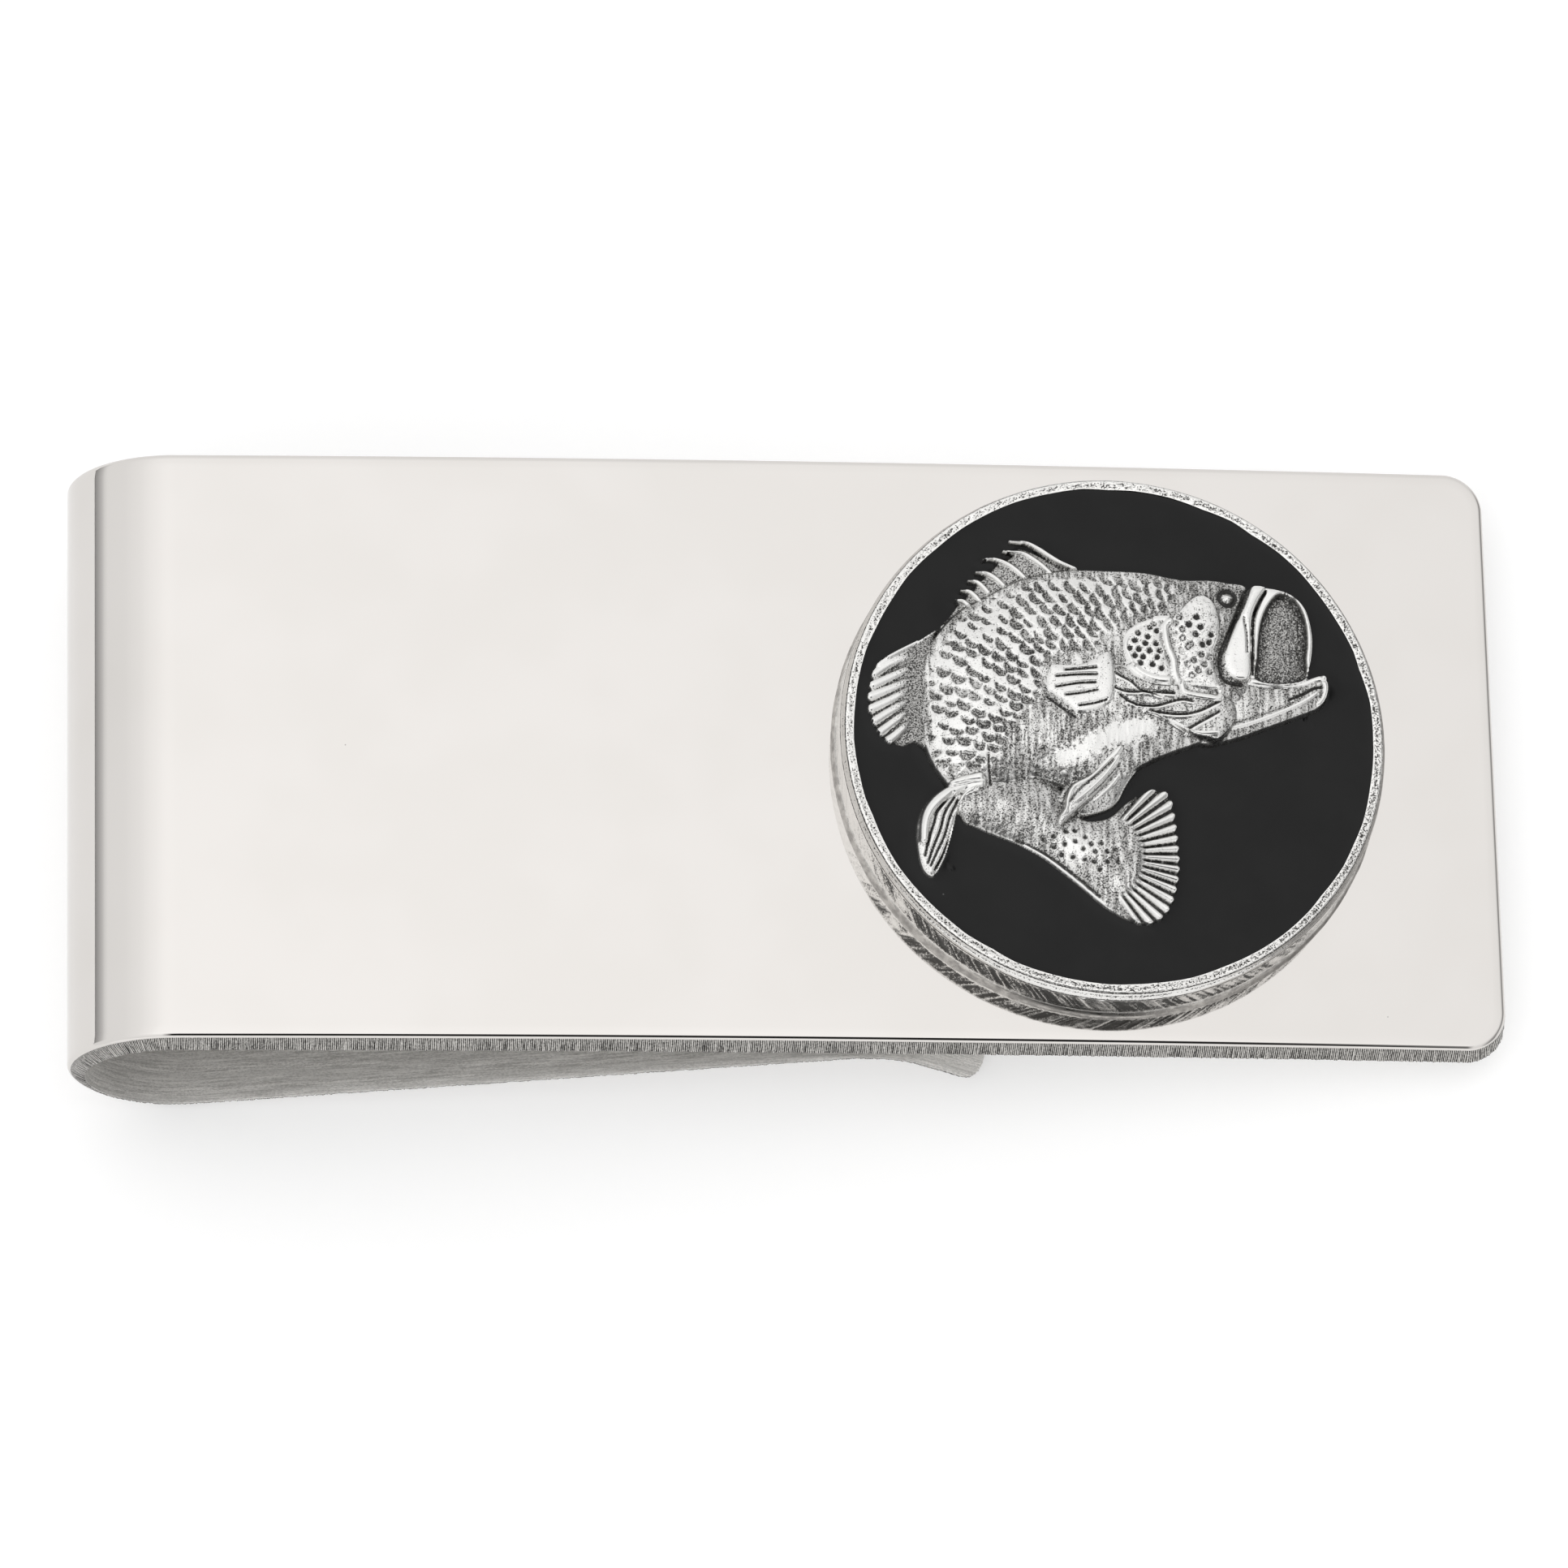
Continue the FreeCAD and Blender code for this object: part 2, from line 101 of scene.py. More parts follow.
def lying_matrix():
    """The move from the strip's own frame to the lying frame: resting on the bend and the tip."""
    half = STRIP_THICKNESS / 2
    mid = CREST_RADIUS - half
    tip_x = CREST_REACH + mid * math.sin(FLARE_ANGLE) + FLARE_LENGTH * math.cos(FLARE_ANGLE)
    tip_z = mid * math.cos(FLARE_ANGLE) - CREST_DROP - FLARE_LENGTH * math.sin(FLARE_ANGLE)
    dx = tip_x - half * math.sin(FLARE_ANGLE) - FOLD_RADIUS
    dz = tip_z - half * math.cos(FLARE_ANGLE) + FOLD_DROP
    lean = math.atan2(dz, dx) + math.asin(FOLD_RADIUS / math.hypot(dx, dz))
    turn = Matrix.Rotation(lean, 4, "Y")
    bend = turn @ Vector((FOLD_RADIUS, 0, -FOLD_DROP))
    open_end = turn @ Vector((CLIP_LENGTH, 0, 0))
    middle = (bend.x - FOLD_RADIUS + open_end.x) / 2
    return Matrix.Translation((-middle, 0, FOLD_RADIUS - bend.z)) @ turn


LYING = lying_matrix()
SEAT = (LYING @ Matrix.Translation((MEDALLION_REACH, MEDALLION_SIDE_SHIFT, SEAT_HEIGHT))
        @ Matrix.Rotation(SEAT_LEAN, 4, "Y"))


def moved(matrix, points):
    """Millimetre points carried by a matrix, in metres."""
    grid = np.array(matrix)
    return (points @ grid[:3, :3].T + grid[:3, 3]) * MM


# ------------------------------------------------------------
# Mesh helpers
# ------------------------------------------------------------
def new_piece(name, points, faces, materials, face_materials=None, vectors=None, values=None):
    """A closed mesh object with outward normals, smooth but for its sharp edges."""
    mesh = bpy.data.meshes.new(name)
    mesh.from_pydata(points.tolist(), [], faces)
    for material in materials:
        mesh.materials.append(material)
    if face_materials is not None:
        mesh.polygons.foreach_set("material_index", np.asarray(face_materials, np.int32))
    for attribute, data in (vectors or {}).items():
        layer = mesh.attributes.new(attribute, "FLOAT_VECTOR", "POINT")
        layer.data.foreach_set("vector", np.asarray(data, np.float32).ravel())
    for attribute, data in (values or {}).items():
        layer = mesh.attributes.new(attribute, "FLOAT", "POINT")
        layer.data.foreach_set("value", np.asarray(data, np.float32).ravel())
    work = bmesh.new()
    work.from_mesh(mesh)
    bmesh.ops.recalc_face_normals(work, faces=work.faces)
    work.to_mesh(mesh)
    work.free()
    mesh.polygons.foreach_set("use_smooth", np.ones(len(mesh.polygons), bool))
    mesh.set_sharp_from_angle(angle=math.radians(50))
    obj = bpy.data.objects.new(name, mesh)
    bpy.context.scene.collection.objects.link(obj)
    return obj


NOISE_TABLE = 256        # entries each way before the noise repeats; a power of two


def value_noise(x, y, cell_x, cell_y, seed):
    """Smooth random field between -1 and 1, with its own cell size each way."""
    table = np.random.default_rng(seed).uniform(-1, 1, (NOISE_TABLE, NOISE_TABLE))
    gx = np.asarray(x, float) / cell_x
    gy = np.asarray(y, float) / cell_y
    ix = np.floor(gx).astype(int)
    iy = np.floor(gy).astype(int)
    fx = gx - ix
    fy = gy - iy
    fx = fx * fx * (3 - 2 * fx)
    fy = fy * fy * (3 - 2 * fy)
    wrap = NOISE_TABLE - 1
    left, right = ix & wrap, (ix + 1) & wrap
    low, high = iy & wrap, (iy + 1) & wrap
    near = table[left, low] * (1 - fx) + table[right, low] * fx
    far = table[left, high] * (1 - fx) + table[right, high] * fx
    return near * (1 - fy) + far * fy


def smoothstep(low, high, x):
    """0 at low, 1 at high, eased at both ends; low may be above high."""
    part = np.clip((x - low) / (high - low), 0, 1)
    return part * part * (3 - 2 * part)


# ------------------------------------------------------------
# Materials
# ------------------------------------------------------------
class Shader:
    """A node material under construction; add() makes a node, wired or set by socket name."""

    def __init__(self, name):
        self.material = bpy.data.materials.new(name)
        self.material.use_nodes = True
        self.tree = self.material.node_tree
        self.bsdf = self.tree.nodes["Principled BSDF"]

    def add(self, kind, settings=None, **sockets):
        node = self.tree.nodes.new("ShaderNode" + kind)
        for key, value in (settings or {}).items():
            setattr(node, key, value)
        for key, value in sockets.items():
            self.put(node, key.replace("_", " "), value)
        return node

    def put(self, node, socket, value):
        target = node.inputs[int(socket) if socket.isdigit() else socket]
        if isinstance(value, bpy.types.NodeSocket):
            self.tree.links.new(value, target)
        else:
            target.default_value = value

    def set(self, **sockets):
        for key, value in sockets.items():
            self.put(self.bsdf, key.replace("_", " "), value)

    def object_space(self, scale):
        """The piece's own coordinates, with so many cells to the metre."""
        coordinates = self.add("TexCoord").outputs["Object"]
        return self.stretched(coordinates, (scale, scale, scale))

    def attribute_space(self, name, scale):
        """Coordinates that the points carry, in millimetres, stretched by the scale each way."""
        coordinates = self.add("Attribute", {"attribute_name": name}).outputs["Vector"]
        return self.stretched(coordinates, scale)

    def stretched(self, coordinates, scale):
        mapping = self.add("Mapping", Vector=coordinates)
        mapping.inputs["Scale"].default_value = scale
        return mapping.outputs["Vector"]

    def noise(self, vector, detail=3.0, roughness=0.6):
        node = self.add("TexNoise", Vector=vector, Scale=1.0, Detail=detail, Roughness=roughness)
        return node.outputs["Fac"]

    def remap(self, value, low, high, to_low=0.0, to_high=1.0):
        node = self.add("MapRange", {"interpolation_type": "SMOOTHSTEP"}, Value=value)
        node.inputs["From Min"].default_value = low
        node.inputs["From Max"].default_value = high
        node.inputs["To Min"].default_value = to_low
        node.inputs["To Max"].default_value = to_high
        return node.outputs["Result"]

    def math(self, operation, first, second):
        node = self.add("Math", {"operation": operation})
        self.put(node, "0", first)
        self.put(node, "1", second)
        return node.outputs["Value"]

    def blend(self, factor, first, second):
        node = self.add("Mix", {"data_type": "RGBA"})
        self.put(node, "0", factor)
        self.put(node, "6", first)
        self.put(node, "7", second)
        return node.outputs[2]

    def bump(self, height, distance, strength=1.0, normal=None):
        node = self.add("Bump", Height=height, Distance=distance, Strength=strength)
        if normal is not None:
            self.put(node, "Normal", normal)
        return node.outputs["Normal"]


def polished_metal():
    """Mirror-buffed outer face: nearly flawless, with hairlines, specks and a faint unevenness."""
    s = Shader("polished_metal")
    haze = s.noise(s.object_space(160), detail=2.0)
    hairline = s.noise(s.attribute_space("run", (0.35, 26, 1)), detail=4.0, roughness=0.7)
    cells = s.add("TexVoronoi", Vector=s.object_space(330), Scale=1.0)
    speck = s.remap(cells.outputs["Distance"], 0.014, 0.006)
    tint = s.blend(s.remap(haze, 0.35, 0.65), (0.66, 0.637, 0.615, 1), (0.645, 0.622, 0.598, 1))
    s.set(Base_Color=s.blend(speck, tint, (0.36, 0.34, 0.33, 1)))
    s.set(Metallic=1.0, Roughness=s.remap(hairline, 0.3, 0.75, 0.035, 0.075))
    swell = s.bump(s.noise(s.object_space(70), detail=1.0), 0.00001, 0.25)
    s.set(Normal=s.bump(hairline, 0.0000004, 0.3, swell))
    return s.material


def satin_metal():
    """The strip's inner face as it left the rolling mill: brushed along its length."""
    s = Shader("satin_metal")
    brush = s.noise(s.attribute_space("run", (0.6, 14, 1)), detail=6.0, roughness=0.75)
    streak = s.noise(s.attribute_space("run", (0.12, 3.5, 1)), detail=3.0)
    grain = s.noise(s.attribute_space("run", (9, 22, 1)), detail=2.0, roughness=0.8)
    shade = s.math("ADD", s.math("MULTIPLY", brush, 0.6), s.math("MULTIPLY", grain, 0.4))
    tone = s.blend(s.remap(shade, 0.36, 0.62), (0.46, 0.45, 0.433, 1), (0.91, 0.895, 0.87, 1))
    s.set(Base_Color=s.blend(s.remap(streak, 0.3, 0.7, 0.0, 0.4), tone, (0.52, 0.51, 0.49, 1)))
    s.set(Metallic=0.5, Roughness=s.remap(brush, 0.25, 0.75, 0.33, 0.5))
    s.set(Normal=s.bump(shade, 0.00002, 0.7))
    return s.material


def sheared_metal():
    """The strip's cut edge: ticked across its thickness, with painted shade in its dark ticks and where the
    grooves are deep.
    """
    s = Shader("sheared_metal")
    along = s.noise(s.attribute_space("run", (16, 16, 5)), detail=1.0, roughness=0.6)
    ticks = s.add("TexWave", Vector=s.attribute_space("edge", (1, 1, 0.15)), Scale=4.3,
                  Distortion=3.0, Detail=2.0, Detail_Scale=1.2)
    depth = s.add("Attribute", {"attribute_name": "groove"}).outputs["Fac"]
    shade = s.math("ADD", s.math("MULTIPLY", along, 0.5), s.math("MULTIPLY", depth, 0.35))
    shade = s.math("ADD", shade, s.math("MULTIPLY", ticks.outputs["Fac"], 0.42))
    dark = s.remap(shade, 0.24, 0.62)
    # the dark colour is painted shade along the ticks and in the deep grooves
    s.set(Base_Color=s.blend(dark, (0.56, 0.545, 0.52, 1), (0.015, 0.014, 0.013, 1)))
    s.set(Metallic=0.9, Roughness=s.remap(along, 0.3, 0.7, 0.25, 0.45))
    s.set(Normal=s.bump(along, 0.00003, 0.8))
    return s.material


def cast_metal(name, bright, dark, grain, softness, film):
    """Cast metal blackened and buffed: a point value says how much black lies there, mostly black patina, and
    in places painted shade and a painted highlight.

    Between bright and black there is a grey film, as strong as film says."""
    s = Shader(name)
    stipple = s.noise(s.object_space(grain), detail=2.0, roughness=0.75)
    tarnish_and_shade = s.add("Attribute", {"attribute_name": "tarnish_and_shade"}).outputs["Fac"]
    spread = s.remap(stipple, 0.25, 0.75, 0.05 + 0.05 * film, 0.95 + 0.05 * film)
    cover = s.math("SUBTRACT", tarnish_and_shade, spread)
    black = s.remap(cover, -softness, softness)
    mottle = s.noise(s.object_space(900), detail=3.0)
    metal = s.blend(s.remap(mottle, 0.3, 0.7), bright, tuple(0.93 * c for c in bright[:3]) + (1,))
    metal = s.blend(s.remap(tarnish_and_shade, 0.22, 0.58, 0.0, film), metal, (0.27, 0.265, 0.255, 1))
    s.set(Base_Color=s.blend(black, metal, dark))
    s.set(Metallic=s.remap(black, 0.0, 1.0, 1.0, 0.6), Roughness=s.remap(black, 0.0, 1.0, 0.2, 0.55))
    s.set(Normal=s.bump(stipple, 0.00001, 0.45))
    return s.material


def enamel_glass():
    """Hard black enamel, polished flat, with a few dust specks under the gloss."""
    s = Shader("enamel_glass")
    cells = s.add("TexVoronoi", Vector=s.object_space(420), Scale=1.0)
    speck = s.remap(cells.outputs["Distance"], 0.018, 0.007)
    cloud = s.noise(s.object_space(400), detail=3.0)
    body = s.blend(s.remap(cloud, 0.3, 0.7), (0.0022, 0.0022, 0.0022, 1), (0.0045, 0.0045, 0.0044, 1))
    s.set(Base_Color=s.blend(speck, body, (0.09, 0.09, 0.09, 1)))
    s.set(Roughness=s.remap(cloud, 0.3, 0.7, 0.04, 0.09), IOR=1.3)
    s.set(Normal=s.bump(cloud, 0.000004, 0.25))
    return s.material


def solder_metal():
    """Solder as it froze: dull and bright in small ripples."""
    s = Shader("solder_metal")
    ripple = s.noise(s.object_space(2600), detail=3.0)
    s.set(Base_Color=s.blend(s.remap(ripple, 0.3, 0.7), (0.66, 0.65, 0.63, 1), (0.38, 0.37, 0.36, 1)))
    s.set(Metallic=1.0, Roughness=s.remap(ripple, 0.3, 0.7, 0.18, 0.38))
    s.set(Normal=s.bump(ripple, 0.00002, 0.7))
    return s.material


def table_white():
    """A pale table that also glows a little, so that shadows on it stay faint."""
    s = Shader("table_white")
    fibre = s.noise(s.object_space(500), detail=4.0)
    white = s.blend(fibre, (0.675, 0.675, 0.675, 1), (0.665, 0.665, 0.665, 1))
    s.set(Base_Color=white, Roughness=0.9, Emission_Color=(1, 1, 1, 1), Emission_Strength=0.42)
    s.set(Normal=s.bump(fibre, 0.00002, 0.05))
    return s.material


# ------------------------------------------------------------
# The strip: one path from the open end, round the fold, to the tip of the tongue
# ------------------------------------------------------------
OPEN_END_LEAN = math.asin(HALF_LENGTH / CAMBER_RADIUS)
FOLD_LEAN = math.asin((HALF_LENGTH - FOLD_RADIUS) / (CAMBER_RADIUS - FOLD_RADIUS))
STRAIGHT_LENGTH = math.sqrt(CENTRES_APART ** 2 - (FOLD_RADIUS + CREST_OUTER_RADIUS) ** 2)
# each run of the outer face: its length and how far it turns, anticlockwise with +X to the right
RUNS = [
    (CAMBER_RADIUS * (OPEN_END_LEAN + FOLD_LEAN), OPEN_END_LEAN + FOLD_LEAN),
    (FOLD_RADIUS * (math.pi - FOLD_LEAN + TONGUE_SLOPE), math.pi - FOLD_LEAN + TONGUE_SLOPE),
    (STRAIGHT_LENGTH, 0.0),
    (CREST_OUTER_RADIUS * (TONGUE_SLOPE + FLARE_ANGLE), -TONGUE_SLOPE - FLARE_ANGLE),
    (FLARE_LENGTH, 0.0),
]
PATH_LENGTH = sum(length for length, turn in RUNS)
SEAM_MARGIN = 3.0      # of straight strip on each side of the bend, in the piece round the bend
PLATE_SEAM = RUNS[0][0] - SEAM_MARGIN
TONGUE_SEAM = RUNS[0][0] + RUNS[1][0] + SEAM_MARGIN


def outer_face(stations):
    """Points on the outer face and its outward normals, in the strip's X-Z plane."""
    x, z = CLIP_LENGTH, 0.0
    heading = math.pi - OPEN_END_LEAN
    start = 0.0
    where = np.zeros((len(stations), 2))
    normal = np.zeros((len(stations), 2))
    for i, (length, turn) in enumerate(RUNS):
        first = i == 0
        last = i == len(RUNS) - 1
        here = ((stations >= start) | first) & ((stations <= start + length) | last)
        along = np.where(here, stations - start, 0.0)
        along_all = np.append(along, length)
        angle = heading + turn * along_all / length
        if turn:
            radius = length / turn
            px = x + radius * (np.sin(angle) - math.sin(heading))
            pz = z - radius * (np.cos(angle) - math.cos(heading))
        else:
            px = x + along_all * math.cos(heading)
            pz = z + along_all * math.sin(heading)
        where[here] = np.stack([px[:-1], pz[:-1]], 1)[here]
        normal[here] = np.stack([np.sin(angle[:-1]), -np.cos(angle[:-1])], 1)[here]
        x, z, heading = px[-1], pz[-1], heading + turn
        start += length
    return where, normal


def on_strip(run):
    """(station, across, depth) in mm, bent along the path and laid down, in metres."""
    where, normal = outer_face(run[:, 0])
    points = np.empty((len(run), 3))
    points[:, 0] = where[:, 0] - normal[:, 0] * run[:, 2]
    points[:, 1] = run[:, 1]
    points[:, 2] = where[:, 1] - normal[:, 1] * run[:, 2]
    return moved(LYING, points)


ROLL_OUT = 0.05          # how far the rolled edge of the outer face stands outside the outline
ROLL_IN = 0.16           # and where the roll starts, inside it
ROLL_DEPTH = 0.15
ROLL_ANGLE = math.radians(84)
SHEAR_SLOPE = 0.04       # how far the cut's foot stands outside the roll
SHEAR_LEAN = 0.27        # added on the near side and taken off on the far side: it was cut aslant
BURR_DEPTH = 0.04
FACE_MARGIN = 0.45       # the faces' outermost column of points stands this far inside the outline
FACE_COLUMNS = 8
ROLL_STEPS = 6
WALL_STEPS = 6
GROOVE_AMPLITUDE = 0.03
STATION_PITCH = 0.045
OUTER, SHEARED, INNER = 0, 1, 2      # which material a face takes


def edge_profile():
    """(outwards, share of the cut's slope, depth, groove share, material), outer face to inner."""
    profile = [(-FACE_MARGIN, 0.0, 0.0, 0.0, OUTER)]
    for i in range(ROLL_STEPS):
        angle = ROLL_ANGLE * i / (ROLL_STEPS - 1)
        profile.append((-ROLL_IN + (ROLL_IN + ROLL_OUT) * math.sin(angle), 0.0,
                        ROLL_DEPTH * (1 - math.cos(angle)), 0.0, OUTER))
    wall_top = profile[-1][2]
    wall_bottom = STRIP_THICKNESS - BURR_DEPTH
    for i in range(1, WALL_STEPS + 1):
        share = i / WALL_STEPS
        profile.append((ROLL_OUT, share ** 0.85, wall_top + (wall_bottom - wall_top) * share,
                        min(1.0, 2.5 * share), SHEARED))
    profile.append((ROLL_OUT - 0.02, 1.0, STRIP_THICKNESS - 0.01, 0.4, SHEARED))
    profile.append((ROLL_OUT - 0.07, 1.0, STRIP_THICKNESS, 0.0, INNER))
    profile.append((ROLL_OUT - FACE_MARGIN, 1.0, STRIP_THICKNESS, 0.0, INNER))
    return profile


def side_outline(length, corner):
    """One long side from the seam round the free corner: (along, across) points and normals."""
    straight = length - corner
    count = max(2, int(straight / STATION_PITCH))
    along = np.linspace(0, straight, count)
    points = np.stack([along, np.full(count, -HALF_WIDTH)], 1)
    normals = np.stack([np.zeros(count), -np.ones(count)], 1)
    if corner:
        steps = int(corner * math.pi / 2 / STATION_PITCH)
        turn = np.linspace(0, math.pi / 2, steps + 1)[1:]
        round_normals = np.stack([np.sin(turn), -np.cos(turn)], 1)
        centre = np.array([straight, -(HALF_WIDTH - corner)])
        points = np.vstack([points, centre + corner * round_normals])
        normals = np.vstack([normals, round_normals])
    return points, normals


def zip_rows(first, second):
    """Triangles between two rows of vertex numbers that have different counts."""
    faces = []
    i = j = 0
    while i < len(first) - 1 or j < len(second) - 1:
        if j == len(second) - 1 or (i + 1) / len(first) < (j + 1) / len(second):
            faces.append((first[i], first[i + 1], second[j]))
            i += 1
        else:
            faces.append((first[i], second[j + 1], second[j]))
            j += 1
    return faces


def fill_between(rows, material, faces, materials):
    """Fills a face of the strip from its rows of vertex numbers."""
    for first, second in zip(rows, rows[1:]):
        if len(first) == len(second):
            new = [(first[i], first[i + 1], second[i + 1], second[i])
                   for i in range(len(first) - 1)]
        else:
            new = zip_rows(first, second)
        faces.extend(new)
        materials.extend([material] * len(new))


def strip_outline(length, corner):
    """The stretch's outline as open chains of points and normals, and one side's point count.

    One chain runs round a free end with its two corners; without a corner each side has its own."""
    left, left_normals = side_outline(length, corner)
    mirror = np.array([1.0, -1.0])
    right, right_normals = (left * mirror)[::-1], (left_normals * mirror)[::-1]
    if not corner:
        return [(left, left_normals), (right, right_normals)], len(left)
    count = int((STRIP_WIDTH - 2 * corner) / STATION_PITCH)
    across = np.linspace(-(HALF_WIDTH - corner), HALF_WIDTH - corner, count + 1)[1:-1]
    end = np.stack([np.full(len(across), length), across], 1)
    end_normals = np.tile([1.0, 0.0], (len(across), 1))
    chain = (np.vstack([left, end, right]), np.vstack([left_normals, end_normals, right_normals]))
    return [chain], len(left)


class StripSkin:
    """A stretch of strip under construction: its points with their values, and its faces."""

    def __init__(self):
        self.run = []          # (station, across, depth) of each point
        self.edge = []         # (distance travelled along the outline, 0, depth)
        self.groove = []
        self.faces = []
        self.materials = []
        self.size = 0

    def add_points(self, run, edge, groove):
        """Adds points and returns their numbers."""
        numbers = np.arange(self.size, self.size + len(run))
        self.run.append(run)
        self.edge.append(edge)
        self.groove.append(groove)
        self.size += len(run)
        return numbers

    def add_edge(self, points, normals, profile, seed):
        """Sweeps the profile along a chain; returns a row of point numbers for each profile point."""
        index = np.arange(len(points))
        travelled = np.append(0, np.cumsum(np.hypot(*np.diff(points, axis=0).T)))
        upper = value_noise(index, 0 * index, 1.15, 1, seed + 3)
        lower = value_noise(index, 0 * index, 1.15, 1, seed + 4)
        slow = value_noise(index, 0 * index, 9, 1, seed + 5)
        slope = SHEAR_SLOPE - SHEAR_LEAN * normals[:, 1]
        ring = []
        for outwards, leaning, depth, share, _ in profile:
            down = depth / STRIP_THICKNESS
            groove = share * ((1 - down) * upper + down * lower + 0.15 * slow)
            reach = outwards + leaning * slope - GROOVE_AMPLITUDE * groove
            run = np.column_stack([points + normals * reach[:, None], np.full(len(points), depth)])
            edge = np.column_stack([travelled, 0 * travelled, np.full(len(points), depth)])
            ring.append(self.add_points(run, edge, 0.5 * groove))
        for j in range(len(profile) - 1):
            material = max(profile[j][4], profile[j + 1][4]) if j else OUTER
            material = INNER if j == len(profile) - 2 else material
            for k in range(len(points) - 1):
                self.faces.append((ring[j][k], ring[j][k + 1], ring[j + 1][k + 1], ring[j + 1][k]))
            self.materials.extend([material] * (len(points) - 1))
        return ring

    def add_face(self, left_ring, right_ring, rows, corner, material):
        """Fills the outer or inner face between the two sides' rows of points."""
        right_ids = right_ring[::-1][:rows]
        boundary = np.vstack(self.run)
        face_rows = []
        for i in range(rows - 1 if corner else rows):
            a, b = boundary[left_ring[i]], boundary[right_ids[i]]
            inner = a + (b - a) * (np.arange(1, FACE_COLUMNS) / FACE_COLUMNS)[:, None]
            numbers = self.add_points(inner, np.zeros((len(inner), 3)), np.zeros(len(inner)))
            face_rows.append([left_ring[i], *numbers, right_ids[i]])
        if corner:
            face_rows.append(list(left_ring[rows - 1:len(left_ring) - rows + 1]))
        fill_between(face_rows, material, self.faces, self.materials)
        return face_rows


def make_strip(name, seam, direction, length, corner, materials, seed):
    """A stretch of the strip from a seam: to its free end, or to the next seam if corner is 0."""
    chains, rows = strip_outline(length, corner)
    profile = edge_profile()
    skin = StripSkin()
    rings = [skin.add_edge(points, normals, profile, seed) for points, normals in chains]
    top = skin.add_face(rings[0][0], rings[-1][0], rows, corner, OUTER)
    bottom = skin.add_face(rings[0][-1], rings[-1][-1], rows, corner, INNER)

    # the flat ends at the seams
    for row, k_left, k_right in ((0, 0, -1), (-1, rows - 1, -rows)):
        if row == 0 or not corner:
            down_left = [rings[0][j][k_left] for j in range(1, len(profile) - 1)]
            up_right = [rings[-1][j][k_right] for j in range(len(profile) - 2, 0, -1)]
            skin.faces.append((*down_left, *bottom[row], *up_right, *reversed(top[row])))
            skin.materials.append(SHEARED)

    run = np.vstack(skin.run)
    run[:, 0] = seam + direction * run[:, 0]
    faces = [tuple(int(v) for v in face) for face in skin.faces]
    return new_piece(name, on_strip(run), faces, materials, skin.materials,
                     {"run": run, "edge": np.vstack(skin.edge)},
                     {"groove": np.concatenate(skin.groove)})


# ------------------------------------------------------------
# The medallion's round pieces
# ------------------------------------------------------------
ROUND_SEGMENTS = 1500
FILLET_STEPS = 6
WALL_ROWS = 20
BEVEL_ROWS = 8
RIM_ROWS = 9
RECESS_FLATS = 54
RECESS_SEED = 41         # the rim, the recess and the enamel share one cutter's path
NEAR_SIDE = math.radians(262)        # where the wall's painted shade is blackest, seen from the medallion's middle


def ring_faces(rings, segments):
    """Faces of a closed solid made of rings of points, the first and the last ring capped."""
    faces = []
    for ring in range(rings - 1):
        a, b = ring * segments, (ring + 1) * segments
        for k in range(segments):
            n = (k + 1) % segments
            faces.append((a + k, a + n, b + n, b + k))
    last = (rings - 1) * segments
    return faces + [tuple(range(segments)), tuple(range(last, last + segments))]


def lathe(profile, segments, roughen):
    """Points and faces of a closed turned solid; roughen(angle, row, r, h) moves the skin."""
    angle = np.linspace(0, 2 * math.pi, segments, endpoint=False)
    points = []
    for row, (radius, height) in enumerate(profile):
        r = np.full(segments, float(radius))
        h = np.full(segments, float(height))
        r, h = roughen(angle, row, r, h)
        points.append(np.stack([r * np.cos(angle), r * np.sin(angle), h], 1))
    return np.vstack(points), ring_faces(len(profile), segments)


def torn_wall(angle, height, radius, seed):
    """Slanted saw marks round a wall: how far they stand out or in, mostly between -1 and 1."""
    along = angle * radius
    fine = value_noise(along + 0.55 * height, height, 0.10, 1.1, seed)
    coarse = value_noise(along + 0.75 * height, height, 0.45, 0.6, seed + 1)
    chatter = value_noise(along, height, 0.16, 0.22, seed + 2)
    return 0.95 * fine + 0.25 * coarse + 0.20 * chatter


def make_solder(material):
    """Solder that wets the medallion's foot in a steep fillet and follows the plate's camber."""
    under = MEDALLION_RADIUS - 0.4
    foot = 0.03
    profile = [(under, 0.0), (FILLET_FOOT_RADIUS - 0.02, 0.0), (FILLET_FOOT_RADIUS - 0.03, foot)]
    for i in range(1, FILLET_STEPS + 1):
        share = i / FILLET_STEPS
        profile.append((MEDALLION_RADIUS + 0.025 + 0.09 * (1 - share) ** 2.2,
                        foot + (FILLET_HEIGHT - foot) * share))
    profile += [(MEDALLION_RADIUS - 0.06, FILLET_HEIGHT), (under, SOLDER_THICKNESS)]
    last_fillet = len(profile) - 3

    def roughen(angle, row, r, h):
        plate = -((r * np.cos(angle)) ** 2) / (2 * CAMBER_RADIUS)
        wave = value_noise(angle * MEDALLION_RADIUS, np.zeros(len(angle)), 0.9, 1, 23)
        ripple = value_noise(angle * MEDALLION_RADIUS, h, 0.35, 0.12, 24)
        if 0 < row <= last_fillet:
            r = r + 0.008 * wave + 0.004 * ripple
        if row in (last_fillet, last_fillet + 1):
            h = h + 0.03 * wave
        if row in (0, 1):
            h = plate - 0.02
        if row == 2:
            h = h + plate
        return r, h

    points, faces = lathe(profile, ROUND_SEGMENTS // 2, roughen)
    return new_piece("solder_bead", moved(SEAT, points), faces, [material])


